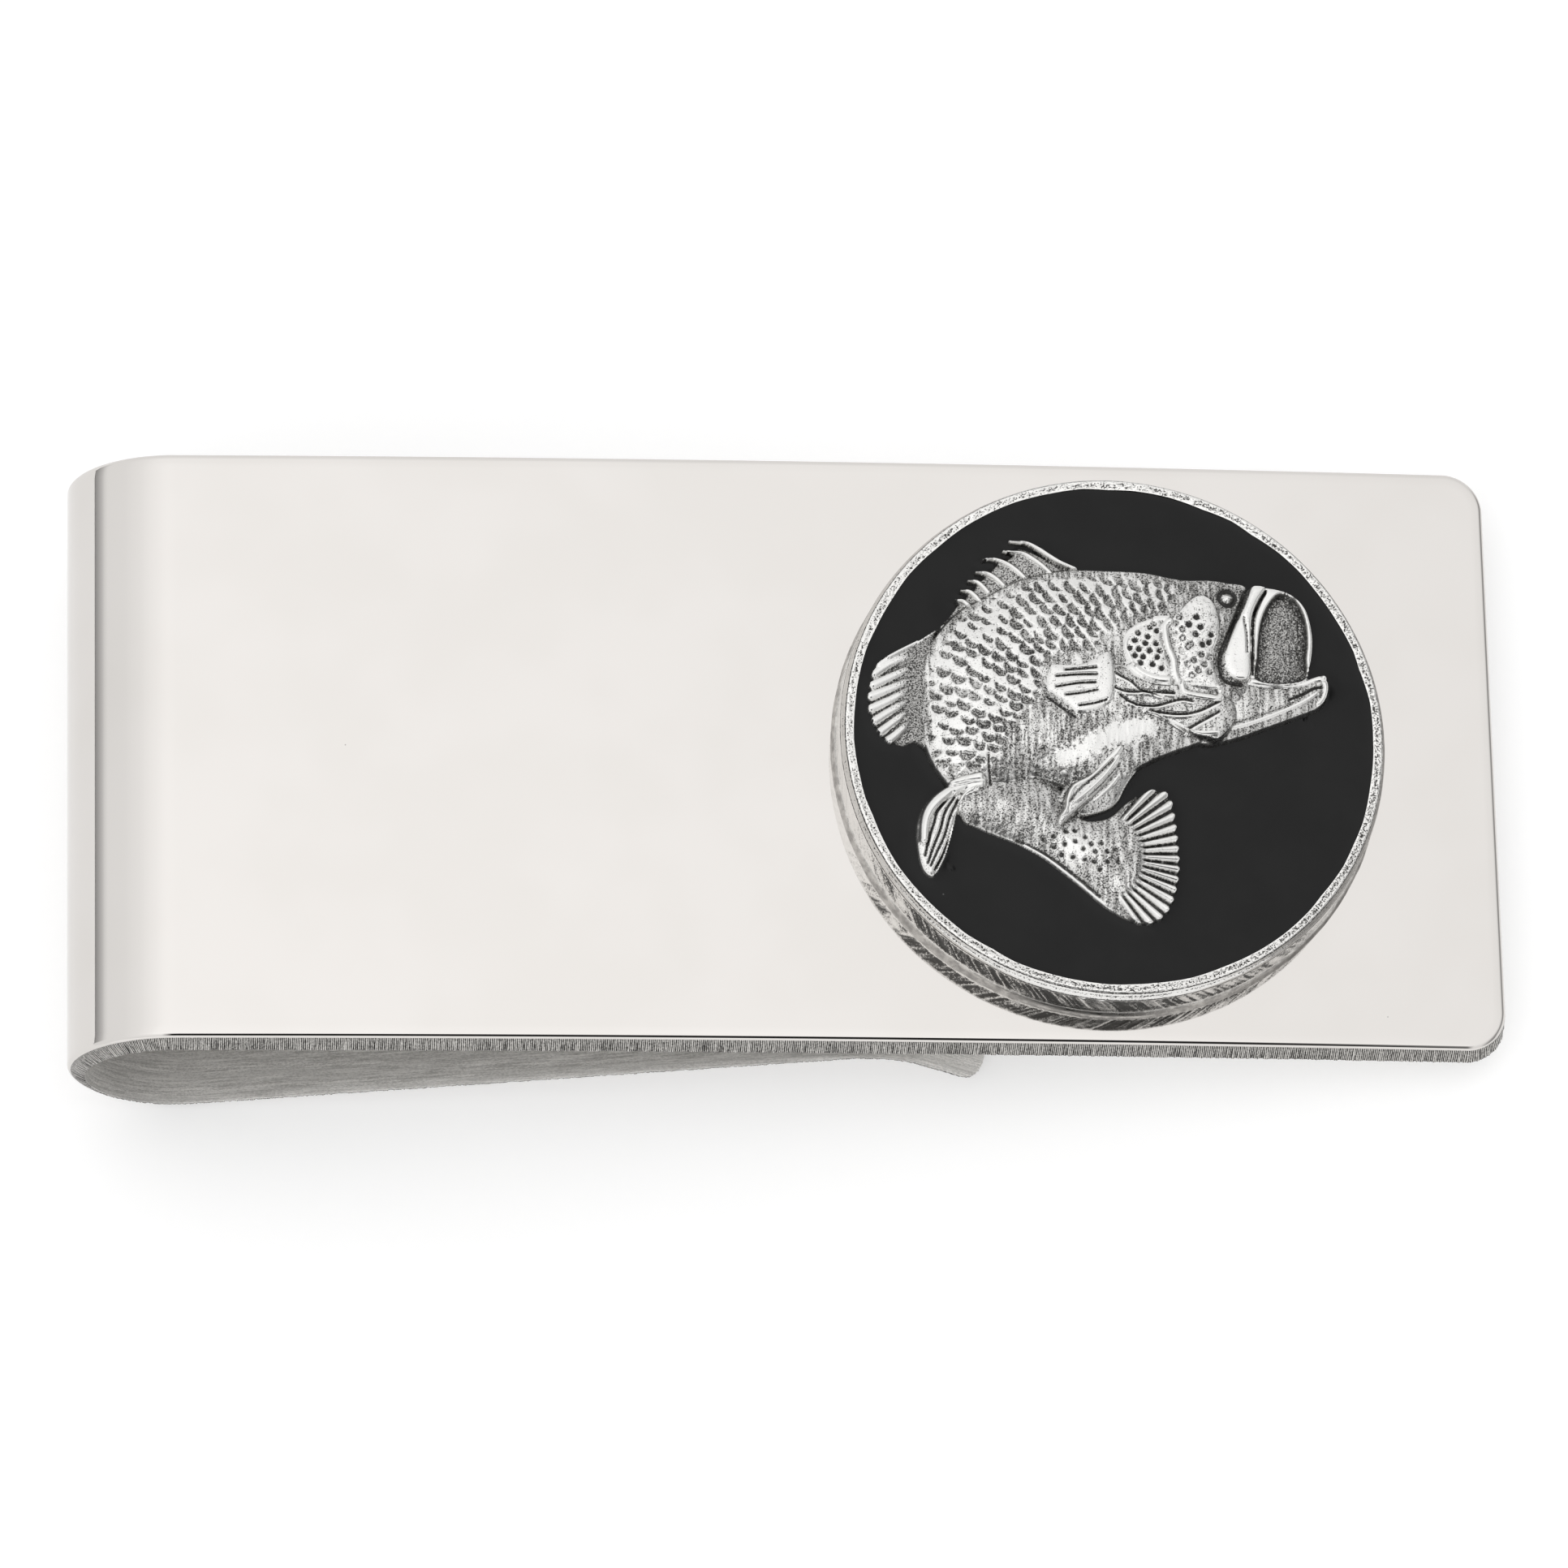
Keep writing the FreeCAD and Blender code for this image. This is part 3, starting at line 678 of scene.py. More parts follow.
def chord_radius(angle, seed):
    """The recess's edge as the cutter left it: short flats of uneven length."""
    rng = np.random.default_rng(seed)
    steps = rng.uniform(0.6, 1.6, RECESS_FLATS)
    corners = np.concatenate([[0], np.cumsum(steps)]) / steps.sum() * 2 * math.pi
    reach = RECESS_RADIUS + rng.uniform(-0.03, 0.05, RECESS_FLATS)
    reach = np.append(reach, reach[0])
    return np.interp(np.mod(angle, 2 * math.pi), corners, reach)


def make_medallion(material):
    """The tray: torn side wall, stepped outer bevel, stippled narrow rim, recess floor."""
    bevel_foot = MEDALLION_HEIGHT - RIM_BEVEL_DOWN
    profile = [(MEDALLION_RADIUS - 0.5, 0.0), (MEDALLION_RADIUS - 0.04, 0.0)]
    profile += [(MEDALLION_RADIUS, h) for h in np.linspace(0.04, bevel_foot, WALL_ROWS)]
    bevel_start = len(profile)
    for i in range(1, BEVEL_ROWS + 1):
        share = i / BEVEL_ROWS
        step = 0.03 if share > 0.55 else 0.0
        profile.append((MEDALLION_RADIUS - (RIM_BEVEL_IN - 0.03) * share ** 1.3 - step,
                        bevel_foot + (RIM_BEVEL_DOWN - 0.05) * share))
    outer_top = MEDALLION_RADIUS - RIM_BEVEL_IN - 0.035
    rim_start = len(profile)
    for i in range(RIM_ROWS):
        share = i / (RIM_ROWS - 1)
        profile.append((outer_top - (outer_top - RECESS_RADIUS) * share,
                        MEDALLION_HEIGHT - 0.03 * share - (0.015 if i == 0 else 0.0)))
    floor = MEDALLION_HEIGHT - RECESS_DEPTH
    profile += [(RECESS_RADIUS - 0.015, floor + 0.3), (RECESS_RADIUS - 0.02, floor),
                (RECESS_RADIUS - 0.8, floor)]
    rows = len(profile)
    tarnish_and_shade = np.zeros((rows, ROUND_SEGMENTS))

    def near_side(angle):
        """How black the wall is painted all round, as painted shade: most on the near side, none elsewhere.
        """
        return smoothstep(0.30, 0.85, np.cos(angle - NEAR_SIDE))

    def wall(angle, row, r, h):
        marks = torn_wall(angle, h, MEDALLION_RADIUS, 31)
        patch = value_noise(angle * MEDALLION_RADIUS, h * 1.2, 1.6, 0.9, 33)
        below_bevel = smoothstep(bevel_foot + 0.02, bevel_foot - 0.1, h + 0.05 * patch)
        deep = smoothstep(0.40, 0.54, h) * below_bevel
        # black in the saw marks, laid on the near side only: painted shade
        tarnish_and_shade[row] = deep * near_side(angle) * (0.60 - 0.65 * marks + 0.22 * patch)
        return r + 0.03 * (marks - 0.4) * deep * (0.35 + 0.65 * near_side(angle)), h

    def bevel(angle, row, r, h):
        # the bevel's black line is darker on the near side: painted shade
        line = math.exp(-((row - bevel_start - 4) / 0.8) ** 2) * (0.45 + 0.55 * near_side(angle))
        marks = value_noise(angle * r, h, 0.5, 0.4, 37)
        tarnish_and_shade[row] = 0.08 + 0.10 * marks + 0.40 * line
        if row in (bevel_start, bevel_start + BEVEL_ROWS - 1):
            tarnish_and_shade[row] = 1.0
        return r + 0.005 * marks, h

    def rim(angle, row, r, h):
        share = (row - rim_start) / (RIM_ROWS - 1)
        flats = chord_radius(angle, RECESS_SEED) - RECESS_RADIUS
        dint = value_noise(angle * r, r, 0.07, 0.07, 43)
        dint = dint + 0.4 * value_noise(angle * r, r, 0.17, 0.17, 44)
        side = 0.5 + 0.5 * np.cos(angle + math.radians(25))
        middle = 4 * share * (1 - share)
        tarnish_and_shade[row] = 0.12 + middle * (0.25 + 0.12 * side) - 0.22 * dint * middle
        return r + flats * share, h + 0.012 * dint * middle + 0.004 * dint

    def roughen(angle, row, r, h):
        if row < 2:
            tarnish_and_shade[row] = 0.9
            return r, h
        if row < bevel_start:
            return wall(angle, row, r, h)
        if row < rim_start:
            return bevel(angle, row, r, h)
        if row < rim_start + RIM_ROWS:
            return rim(angle, row, r, h)
        tarnish_and_shade[row] = 0.55
        inset = chord_radius(angle, RECESS_SEED) - RECESS_RADIUS
        return r + inset * (row < rows - 1), h

    points, faces = lathe(profile, ROUND_SEGMENTS, roughen)
    points[:, 2] += SOLDER_THICKNESS
    return new_piece("medallion_tray", moved(SEAT, points), faces, [material],
                     values={"tarnish_and_shade": tarnish_and_shade})


# ------------------------------------------------------------
# The bass, as a field of heights above the recess's floor
# ------------------------------------------------------------
CELL = 0.04
GROWTH = 1.012           # the outlines below are drawn slightly small
SUNK = 0.40              # height where each part's edge starts, just under the enamel's surface
FAR = -9.0

# Outlines in the medallion's plane, in millimetres from its centre.
BODY = [
    (5.3, 5.95), (4.5, 6.2), (3.8, 6.3), (2.7, 6.3), (1.3, 6.55), (-0.1, 6.6), (-1.4, 6.6), (-2.4, 6.45),
    (-3.6, 6.1), (-4.8, 5.45), (-5.9, 4.8), (-6.6, 4.1), (-7.1, 3.3), (-7.4, 2.2), (-7.45, 0.8),
    (-7.45, -0.2), (-7.25, -1.0), (-6.9, -1.7), (-6.4, -2.3), (-5.6, -2.2), (-4.9, -2.15), (-4.0, -2.15),
    (-3.2, -1.95), (-2.2, -2.2), (-1.0, -2.4), (-0.2, -2.2), (0.5, -1.75), (1.0, -1.35), (1.9, -0.9),
    (3.2, -0.4), (4.4, 0.2), (5.3, 1.2), (5.5, 2.6), (5.3, 4.4),
]
SCALED = [
    (-7.1, -1.2), (-7.3, 0.8), (-7.1, 2.6), (-6.4, 3.9), (-5.4, 4.9), (-4.2, 5.6), (-2.6, 6.2),
    (-0.4, 6.35), (1.7, 6.2), (2.5, 5.8), (2.3, 5.0), (1.8, 4.6), (0.9, 4.4), (0.1, 3.9), (-0.4, 3.3),
    (-1.2, 2.9), (-2.6, 2.7), (-2.8, 1.6), (-3.1, 0.9), (-3.8, 0.1), (-4.2, -0.8), (-4.9, -1.6),
    (-5.8, -1.9), (-6.6, -1.8),
]
TAIL = [
    (-6.1, -2.2), (-6.0, -3.5), (-5.3, -3.9), (-4.6, -4.2), (-3.8, -4.5), (-3.0, -4.95), (-2.3, -5.5),
    (-1.5, -6.15), (-0.8, -6.8), (-0.2, -7.2), (0.4, -7.5), (0.95, -7.65), (1.5, -7.45), (1.9, -7.0),
    (2.2, -6.2), (2.35, -5.2), (2.3, -3.9), (2.2, -3.0), (2.05, -2.4), (1.6, -2.15), (1.0, -2.25),
    (0.3, -2.7), (-0.3, -3.25), (-0.8, -3.4), (-1.35, -3.35), (-1.8, -2.6), (-3.0, -1.5), (-5.0, -1.5),
]
FAN_CENTRE = (-1.15, -4.9)
FAN_ROOT = 1.95
FAN_FIRST = math.radians(-53)
FAN_LAST = math.radians(44)
FAN_RAYS = 14
TAIL_SPOTS = [
    (-2.9, -4.3), (-2.5, -4.2), (-2.5, -4.6), (-2.05, -4.0), (-1.7, -3.95), (-1.3, -4.2), (-1.1, -4.5),
    (-1.4, -4.7), (-0.95, -4.8), (-0.7, -4.45), (-1.35, -5.1), (-1.0, -5.2), (-1.8, -5.0), (-0.5, -4.8),
    (-0.2, -4.7), (-0.8, -5.5), (-0.1, -5.2), (-2.1, -4.5), (-1.7, -4.4), (-0.5, -5.2), (-2.2, -4.9),
]
LOWER_LOBE = [
    (0.9, -0.9), (0.85, -1.45), (0.6, -1.8), (0.35, -2.2), (0.05, -2.75), (-0.3, -3.05), (-0.8, -3.25),
    (-1.35, -3.35), (-1.9, -3.2), (-2.3, -2.6), (-1.6, -1.6), (-0.4, -0.8),
]
PELVIC = [
    (0.05, -0.6), (-0.25, -0.85), (-0.7, -1.35), (-1.15, -1.75), (-1.65, -2.05), (-1.95, -2.35), (-2.1, -2.7),
    (-2.15, -3.1), (-2.35, -3.4), (-2.45, -3.75), (-2.25, -3.9), (-1.95, -3.6), (-1.5, -3.2), (-1.0, -2.7),
    (-0.5, -2.2), (-0.1, -1.75), (0.15, -1.3), (0.25, -0.85),
]
PELVIC_EDGE = [(0.1, -0.75), (-0.5, -1.35), (-1.1, -1.95), (-1.7, -2.25), (-1.95, -2.7), (-2.1, -3.3)]
SPINY_WEB = [
    (-1.2, 6.4), (-1.9, 6.75), (-2.7, 7.2), (-3.3, 7.45), (-3.6, 7.4), (-3.75, 7.15), (-4.0, 6.95),
    (-4.3, 6.8), (-4.6, 6.5), (-4.8, 6.25), (-5.1, 6.05), (-5.25, 5.75), (-5.45, 5.6), (-5.65, 5.3),
    (-5.9, 5.1), (-6.05, 4.9), (-6.3, 4.4), (-5.6, 4.4), (-4.0, 5.4), (-2.0, 6.0),
]
SPINES = [
    [(-3.85, 7.65), (-3.2, 7.62), (-2.75, 7.4), (-2.3, 7.1), (-1.9, 6.85), (-1.35, 6.6)],
    [(-4.1, 7.25), (-3.4, 7.2), (-3.0, 7.0), (-2.6, 6.7), (-2.3, 6.4)],
    [(-4.9, 6.9), (-4.45, 6.93), (-3.95, 6.75), (-3.6, 6.5), (-3.3, 6.2)],
    [(-5.2, 6.38), (-4.75, 6.35), (-4.4, 6.15), (-4.1, 5.85)],
    [(-5.5, 6.02), (-5.15, 6.0), (-4.9, 5.8), (-4.7, 5.55)],
    [(-5.8, 5.62), (-5.45, 5.6), (-5.2, 5.4), (-5.05, 5.2)],
    [(-6.0, 5.23), (-5.7, 5.2), (-5.5, 5.05)],
]
SOFT_FIN = [
    (-6.1, 4.75), (-6.55, 4.2), (-7.2, 3.75), (-7.7, 3.42), (-8.25, 3.15), (-8.65, 2.9), (-9.0, 2.6),
    (-9.2, 2.2), (-9.3, 1.8), (-9.38, 1.3), (-9.35, 0.75), (-9.2, 0.3), (-9.0, -0.1), (-8.65, -0.45),
    (-8.1, -0.62), (-7.7, -0.5), (-7.3, -0.75), (-6.9, -0.6), (-6.9, 3.4),
]
SOFT_RAYS = [
    [(-8.95, 2.6), (-8.4, 3.0), (-7.5, 3.5)],
    [(-9.15, 2.25), (-8.5, 2.7), (-7.7, 3.05)],
    [(-9.2, 1.8), (-8.5, 2.15), (-7.8, 2.5)],
    [(-9.3, 1.35), (-8.6, 1.65), (-7.85, 2.0)],
    [(-9.3, 0.85), (-8.6, 1.2), (-7.9, 1.6)],
    [(-9.2, 0.35), (-8.6, 0.75), (-7.95, 1.15)],
    [(-9.0, -0.1), (-8.5, 0.3), (-8.0, 0.7)],
    [(-8.65, -0.4), (-8.3, -0.1), (-7.95, 0.25)],
]
ANAL = [
    (-5.25, -1.85), (-5.9, -1.98), (-6.45, -2.18), (-7.05, -2.55), (-7.47, -3.05), (-7.68, -3.6),
    (-7.74, -4.1), (-7.72, -4.6), (-7.62, -5.3), (-7.42, -5.72), (-7.12, -5.85), (-6.87, -5.6),
    (-6.6, -5.05), (-6.4, -4.4), (-6.2, -3.65), (-6.0, -2.9), (-5.85, -2.65), (-5.55, -2.4), (-5.25, -2.3),
]
ANAL_BAND = [
    (-5.3, -2.05), (-6.0, -2.22), (-6.5, -2.48), (-6.95, -2.87), (-7.25, -3.3), (-7.4, -3.8), (-7.45, -4.4),
]
ANAL_EDGE = [
    (-5.35, -2.35), (-5.8, -2.52), (-6.0, -2.8), (-6.15, -3.35), (-6.35, -4.05), (-6.6, -4.85), (-6.9, -5.5),
]
ANAL_GROOVES = [
    [(-6.3, -2.55), (-6.85, -3.15), (-7.05, -3.75), (-7.25, -4.35), (-7.4, -5.0)],
    [(-6.22, -2.65), (-6.6, -3.25), (-6.8, -3.95), (-7.1, -4.7), (-7.3, -5.3)],
    [(-6.1, -2.75), (-6.4, -3.4), (-6.65, -4.2), (-7.0, -4.95), (-7.2, -5.4)],
    [(-6.0, -2.9), (-6.22, -3.5), (-6.48, -4.3), (-6.75, -5.0), (-7.05, -5.55)],
]
PECTORAL = [
    (-2.68, 2.2), (-2.55, 2.5), (-2.25, 2.58), (-1.45, 2.58), (-0.95, 2.75), (-0.6, 3.0), (-0.25, 3.1),
    (0.0, 2.6), (0.0, 1.6), (-0.2, 1.0), (-0.8, 0.62), (-1.5, 0.5), (-1.9, 0.8), (-2.45, 1.2), (-2.75, 1.45),
    (-2.75, 1.9),
]
PECTORAL_SLOTS = [
    [(-1.95, 2.28), (-1.3, 2.34), (-0.75, 2.4)],
    [(-2.3, 2.02), (-1.5, 2.1), (-0.75, 2.12)],
    [(-2.3, 1.6), (-1.5, 1.75), (-0.8, 1.8)],
    [(-1.95, 1.28), (-1.4, 1.36), (-0.75, 1.5)],
    [(-1.45, 0.86), (-0.9, 0.96), (-0.4, 1.12)],
]
GILL_SKIRT = [
    (-0.4, 3.2), (-0.6, 2.9), (-0.5, 2.3), (-0.15, 1.5), (0.3, 1.05), (0.75, 0.7), (1.3, 0.6), (1.8, 0.4),
    (2.3, 0.1), (2.9, -0.2), (3.5, -0.33), (4.0, -0.3), (4.6, 0.5), (4.3, 1.4), (2.5, 2.0), (0.8, 2.8),
    (0.2, 3.6),
]
GILL_LINES = [
    [(-0.45, 2.5), (0.1, 2.15), (0.55, 1.9), (0.95, 1.55), (1.7, 1.35)],
    [(-0.3, 1.75), (0.35, 1.5), (1.2, 1.5), (2.2, 1.45)],
    [(0.75, 0.95), (1.5, 0.95), (2.4, 1.2), (2.9, 1.15)],
    [(1.0, 0.8), (2.3, 0.62), (3.1, 0.75), (3.9, 1.15)],
    [(2.6, 0.0), (3.3, 0.4), (3.9, 0.75)],
]
OPERCLE = [
    (1.65, 4.42), (1.1, 4.22), (0.6, 3.95), (0.28, 3.5), (0.25, 3.2), (0.42, 2.8), (0.55, 2.4), (0.85, 2.1),
    (1.4, 1.8), (1.95, 1.72), (2.25, 1.9), (2.25, 2.3), (2.05, 2.85), (1.9, 3.6), (1.9, 4.2),
]
OPERCLE_EDGE = [(1.4, 4.32), (0.9, 4.1), (0.5, 3.75), (0.38, 3.3), (0.5, 2.85), (0.65, 2.5)]
OPERCLE_SPOTS = [
    (0.9, 3.8), (0.75, 3.5), (1.35, 4.05), (1.25, 3.65), (1.5, 4.2), (1.6, 3.9), (1.15, 3.4), (0.55, 3.2),
    (0.75, 2.9), (0.9, 3.15), (1.3, 3.1), (1.55, 3.4), (1.6, 2.85), (1.05, 2.85), (1.4, 2.55), (0.95, 2.6),
    (1.7, 3.1), (1.75, 2.4),
]
PREOPERCLE = [(2.15, 4.35), (1.95, 4.15), (1.95, 3.7), (2.05, 3.2), (2.2, 2.8), (2.25, 2.3), (2.35, 1.9)]
CHEEK = [
    (2.15, 4.4), (2.6, 4.95), (3.0, 5.35), (3.4, 5.5), (3.8, 5.3), (4.0, 4.9), (4.1, 4.4), (4.05, 3.8),
    (3.85, 3.2), (3.8, 2.6), (3.95, 2.0), (4.0, 1.6), (3.2, 1.6), (2.5, 1.75), (2.35, 2.2), (2.3, 2.9),
    (2.1, 3.6),
]
CHEEK_SPOTS = [
    (2.35, 4.25), (2.5, 4.5), (2.85, 4.2), (2.6, 4.0), (3.15, 4.5), (3.3, 4.1), (2.6, 3.65), (3.1, 3.8),
    (2.3, 3.85), (2.25, 3.5), (2.9, 3.4), (3.35, 3.4), (3.6, 3.5), (3.7, 3.8), (2.5, 3.15), (2.8, 3.3),
    (2.6, 2.9), (3.0, 2.75), (3.3, 3.0), (3.6, 2.9), (3.15, 2.35), (2.75, 2.6), (2.5, 2.3), (2.9, 2.15),
    (3.4, 2.6), (3.6, 2.3),
]
CHEEK_RIM = [(2.5, 1.85), (2.6, 1.5), (3.0, 1.38), (3.6, 1.3), (3.95, 1.3), (4.03, 1.7)]
MAXILLA = [
    (5.95, 5.85), (5.4, 5.95), (5.15, 5.7), (4.95, 5.2), (4.7, 4.6), (4.5, 4.1), (4.23, 3.35), (4.13, 2.85),
    (4.25, 2.35), (4.6, 2.05), (5.05, 2.05), (5.25, 2.35), (5.28, 3.2), (5.3, 3.85), (5.4, 4.7), (5.65, 5.3),
]
MAXILLA_LEFT = [
    (5.3, 5.85), (4.96, 5.0), (4.64, 4.36), (4.26, 3.6), (4.04, 3.0), (4.04, 2.4), (4.26, 2.02), (4.85, 1.95),
]
MAXILLA_RIGHT = [(5.95, 5.8), (5.68, 5.3), (5.45, 4.7), (5.37, 3.65), (5.33, 2.4)]
LIP = [
    (5.4, 6.02), (5.85, 6.0), (6.42, 5.93), (7.0, 5.7), (7.46, 5.22), (7.67, 4.6), (7.75, 3.86),
    (7.68, 3.1), (7.5, 2.4), (7.3, 2.1), (6.8, 1.9), (5.2, 1.9), (5.2, 3.0), (5.25, 4.4), (5.5, 5.2),
]
MOUTH = [
    (5.5, 2.1), (5.5, 3.2), (5.57, 3.9), (5.72, 4.65), (6.03, 5.3), (6.46, 5.72), (6.93, 5.66), (7.28, 5.2),
    (7.48, 4.56), (7.52, 3.82), (7.45, 3.2), (7.25, 2.15),
]
JAW = [
    (4.9, 2.1), (5.3, 2.2), (5.9, 2.1), (6.55, 2.1), (7.15, 2.2), (7.6, 2.38), (7.9, 2.5), (8.12, 2.48),
    (8.3, 2.28), (8.3, 1.85), (8.15, 1.4), (7.85, 1.08), (7.0, 0.72), (6.25, 0.42), (5.55, 0.15),
    (4.85, -0.12), (4.15, -0.33), (3.6, -0.45), (3.1, -0.3), (3.1, 0.6), (3.8, 1.6),
]
JAW_LIP = [(5.2, 2.08), (5.9, 1.98), (6.6, 1.98), (7.2, 2.08), (7.65, 2.25), (8.05, 2.3)]
JAW_FRONT = [(8.05, 2.3), (8.15, 1.9), (8.05, 1.5), (7.85, 1.25)]
TEETH = [(6.7, 1.4), (7.2, 1.62), (7.6, 1.85), (7.95, 1.95)]
JAW_LINE = [(4.0, 0.1), (4.8, 0.3), (5.7, 0.62), (6.6, 1.0), (7.2, 1.3), (7.75, 1.65)]
EYE = (4.42, 5.42)
# the line of a painted highlight along the belly
BELLY_HIGHLIGHT_LINE = [(-2.0, -1.2), (-1.2, -0.75), (-0.5, -0.35), (0.3, -0.1), (1.2, 0.1)]


def smooth_curve(points, closed, steps=7):
    """A Catmull-Rom curve through the points, as short straight pieces."""
    p = np.array(points, float)
    if closed:
        p = np.vstack([p[-1], p, p[0], p[1]])
    else:
        p = np.vstack([2 * p[0] - p[1], p, 2 * p[-1] - p[-2]])
    out = []
    for i in range(1, len(p) - 2):
        for u in np.arange(steps) / steps:
            out.append(0.5 * (2 * p[i] + (p[i + 1] - p[i - 1]) * u
                              + (2 * p[i - 1] - 5 * p[i] + 4 * p[i + 1] - p[i + 2]) * u ** 2
                              + (3 * p[i] - p[i - 1] - 3 * p[i + 1] + p[i + 2]) * u ** 3))
    if not closed:
        out.append(p[-2])
    return np.array(out)


class Relief:
    """The bass under construction: heights, how black each point is, and reach inside its edge."""

    def __init__(self):
        self.x, self.y = np.meshgrid(np.arange(-9.8, 8.8, CELL), np.arange(-8.1, 8.1, CELL),
                                     indexing="ij")
        self.height = np.full(self.x.shape, 0.0)
        self.tarnish_and_shade = np.full(self.x.shape, 0.5)
        self.reach = np.full(self.x.shape, FAR)

    def noise(self, cell_x, cell_y, seed):
        return value_noise(self.x, self.y, cell_x, cell_y, seed)

    def window(self, curve, margin):
        """The part of the grid that holds a curve and a margin round it."""
        box = []
        for axis, origin in enumerate((self.x[0, 0], self.y[0, 0])):
            ends = np.array([curve[:, axis].min() - margin, curve[:, axis].max() + margin])
            first, last = np.clip(((ends - origin) / CELL).astype(int), 0, self.x.shape[axis])
            box.append(slice(first, last + 1))
        return tuple(box)

    def distance(self, points, closed, margin=1.0):
        """How far each cell is inside an outline, or from a stroke with its share of the length."""
        curve = smooth_curve(points, closed)
        box = self.window(curve, margin)
        x, y = self.x[box], self.y[box]
        ends = np.roll(curve, -1, 0) if closed else curve[1:]
        starts = curve if closed else curve[:-1]
        best = np.full(x.shape, 1e9)
        inside = np.zeros(x.shape, bool)
        along = np.zeros(x.shape)
        travelled = 0.0
        for (ax, ay), (bx, by) in zip(starts, ends):
            dx, dy = bx - ax, by - ay
            size = math.hypot(dx, dy) or 1e-9
            t = np.clip(((x - ax) * dx + (y - ay) * dy) / size ** 2, 0, 1)
            d = np.hypot(x - ax - t * dx, y - ay - t * dy)
            nearer = d < best
            best = np.where(nearer, d, best)
            along = np.where(nearer, travelled + t * size, along)
            travelled += size
            if closed and ay != by:
                crosses = (ay > y) != (by > y)
                inside ^= crosses & (x < (bx - ax) * (y - ay) / (by - ay) + ax)
        full = np.full(self.x.shape, FAR if closed else 1e9)
        full[box] = np.where(inside, best, -best) if closed else best
        share = np.zeros(self.x.shape)
        share[box] = along / travelled
        return full if closed else (full, share)

    def merge(self, height, tarnish_and_shade, distance):
        """Lays a part over what is there: the higher surface wins."""
        over = (distance > -CELL) & (height > self.height)
        self.height = np.where(over, height, self.height)
        self.tarnish_and_shade = np.where(over, tarnish_and_shade, self.tarnish_and_shade)
        self.reach = np.maximum(self.reach, distance)

    def part(self, outline, low, high, width, edge, tarnish_and_shade):
        """Lays a domed part over what is there."""
        d = self.distance(outline, True)
        self.merge(dome(d, low, high, width, edge), tarnish_and_shade, d)

    def carve(self, points, half_width, depth, tarnish_and_shade=0.9, taper=0.0):
        """A groove, black at its bottom, cut into whatever is on top."""
        d, share = self.distance(points, False, 0.6)
        width = half_width * (1 - taper * share)
        cut = np.exp(-(d / np.maximum(width, 1e-3)) ** 2)
        self.height = self.height - depth * cut
        self.tarnish_and_shade = np.maximum(self.tarnish_and_shade, tarnish_and_shade * smoothstep(0.25, 0.8, cut))

    def ridge(self, points, half_width, height, tarnish_and_shade=0.03, taper=0.0):
        """A raised bead, buffed bright along its top, added to whatever is under it."""
        d, share = self.distance(points, False, 0.6)
        width = np.maximum(half_width * (1 - taper * share), 1e-3)
        bead = half_round(d, width)
        self.height = self.height + height * bead
        on = smoothstep(0.15, 0.6, bead)
        self.tarnish_and_shade = self.tarnish_and_shade * (1 - on) + tarnish_and_shade * on


def dome(distance, low, high, width, edge):
    """A part's height: a steep rounded edge up to low, then a swell towards high."""
    swell = 1 - (1 - np.clip(distance / width, 0, 1)) ** 2
    return SUNK + (low - SUNK) * steep_lip(distance, edge) + (high - low) * swell


def half_round(distance, width):
    """The cross-section of a round bead, 1 on its line and 0 at its sides."""
    return np.sqrt(np.clip(1 - (distance / width) ** 2, 0, 1))


def steep_lip(distance, edge):
    """A quarter round that rises from 0 at the outline to 1 at the edge's width."""
    return np.sqrt(np.clip(1 - (1 - np.clip(distance / edge, 0, 1)) ** 2, 0, 1))


def pits(relief, centres, radius, depth):
    """Round punched spots: their depth, and how black they are."""
    cut = np.zeros(relief.x.shape)
    for cx, cy in centres:
        wobble = 0.02 * value_noise(relief.x * 3 + cx, relief.y * 3 + cy, 0.2, 0.2, 51)
        d = np.hypot(relief.x - cx, relief.y - cy) + wobble
        cut = np.maximum(cut, smoothstep(radius * 1.35, radius * 0.6, d))
    return depth * cut, cut


SCALE_CENTRE = (3.4, -2.8)           # the rows of scales run round this point
SCALE_ACROSS = 0.60
SCALE_ALONG = 0.385
SCALE_RADIUS = 8.0                   # where a scale has just those two sizes


def scale_pattern(relief):
    """Overlapping scales in staggered rows that follow the bend of the back.

    Returns the relief of the scales and how black the hollows behind their free edges are."""
    dx = relief.x - SCALE_CENTRE[0]
    dy = relief.y - SCALE_CENTRE[1]
    radius = np.hypot(dx, dy) + 0.05 * relief.noise(0.8, 0.8, 61)
    angle = np.arctan2(dy, dx)
    angle = np.where(angle < -1.5, angle + 2 * math.pi, angle)
    along = angle * SCALE_RADIUS / SCALE_ALONG + 0.12 * relief.noise(0.7, 0.7, 62)
    across = radius / SCALE_ACROSS
    ragged = relief.noise(0.10, 0.10, 64)
    ragged = ragged + 0.5 * relief.noise(0.05, 0.05, 65)
    wide = 0.54 + 0.12 * smoothstep(-3.5, 1.5, relief.x)
    rows = np.floor(along)
    black = np.zeros(relief.x.shape)
    jitter = np.random.default_rng(63).uniform(-1, 1, (512, 64, 3))
    for step in (-1, 0, 1):
        row = (rows + step).astype(int)
        shift = 0.5 * (row & 1)
        column = np.round(across - shift).astype(int)
        dice = jitter[row & 511, column & 63]
        a = (along - row - 0.5 + 0.22 * dice[..., 0]) * (radius / SCALE_RADIUS)
        c = across - column - shift + 0.18 * dice[..., 1]
        d = np.hypot((a - 0.22 + 1.1 * c * c) / 0.37, c / wide) + 0.18 * ragged
        size = 1.03 + 0.24 * dice[..., 2]
        black = np.maximum(black, smoothstep(1.12 * size, 0.68 * size, d))
    return -0.075 * black, black


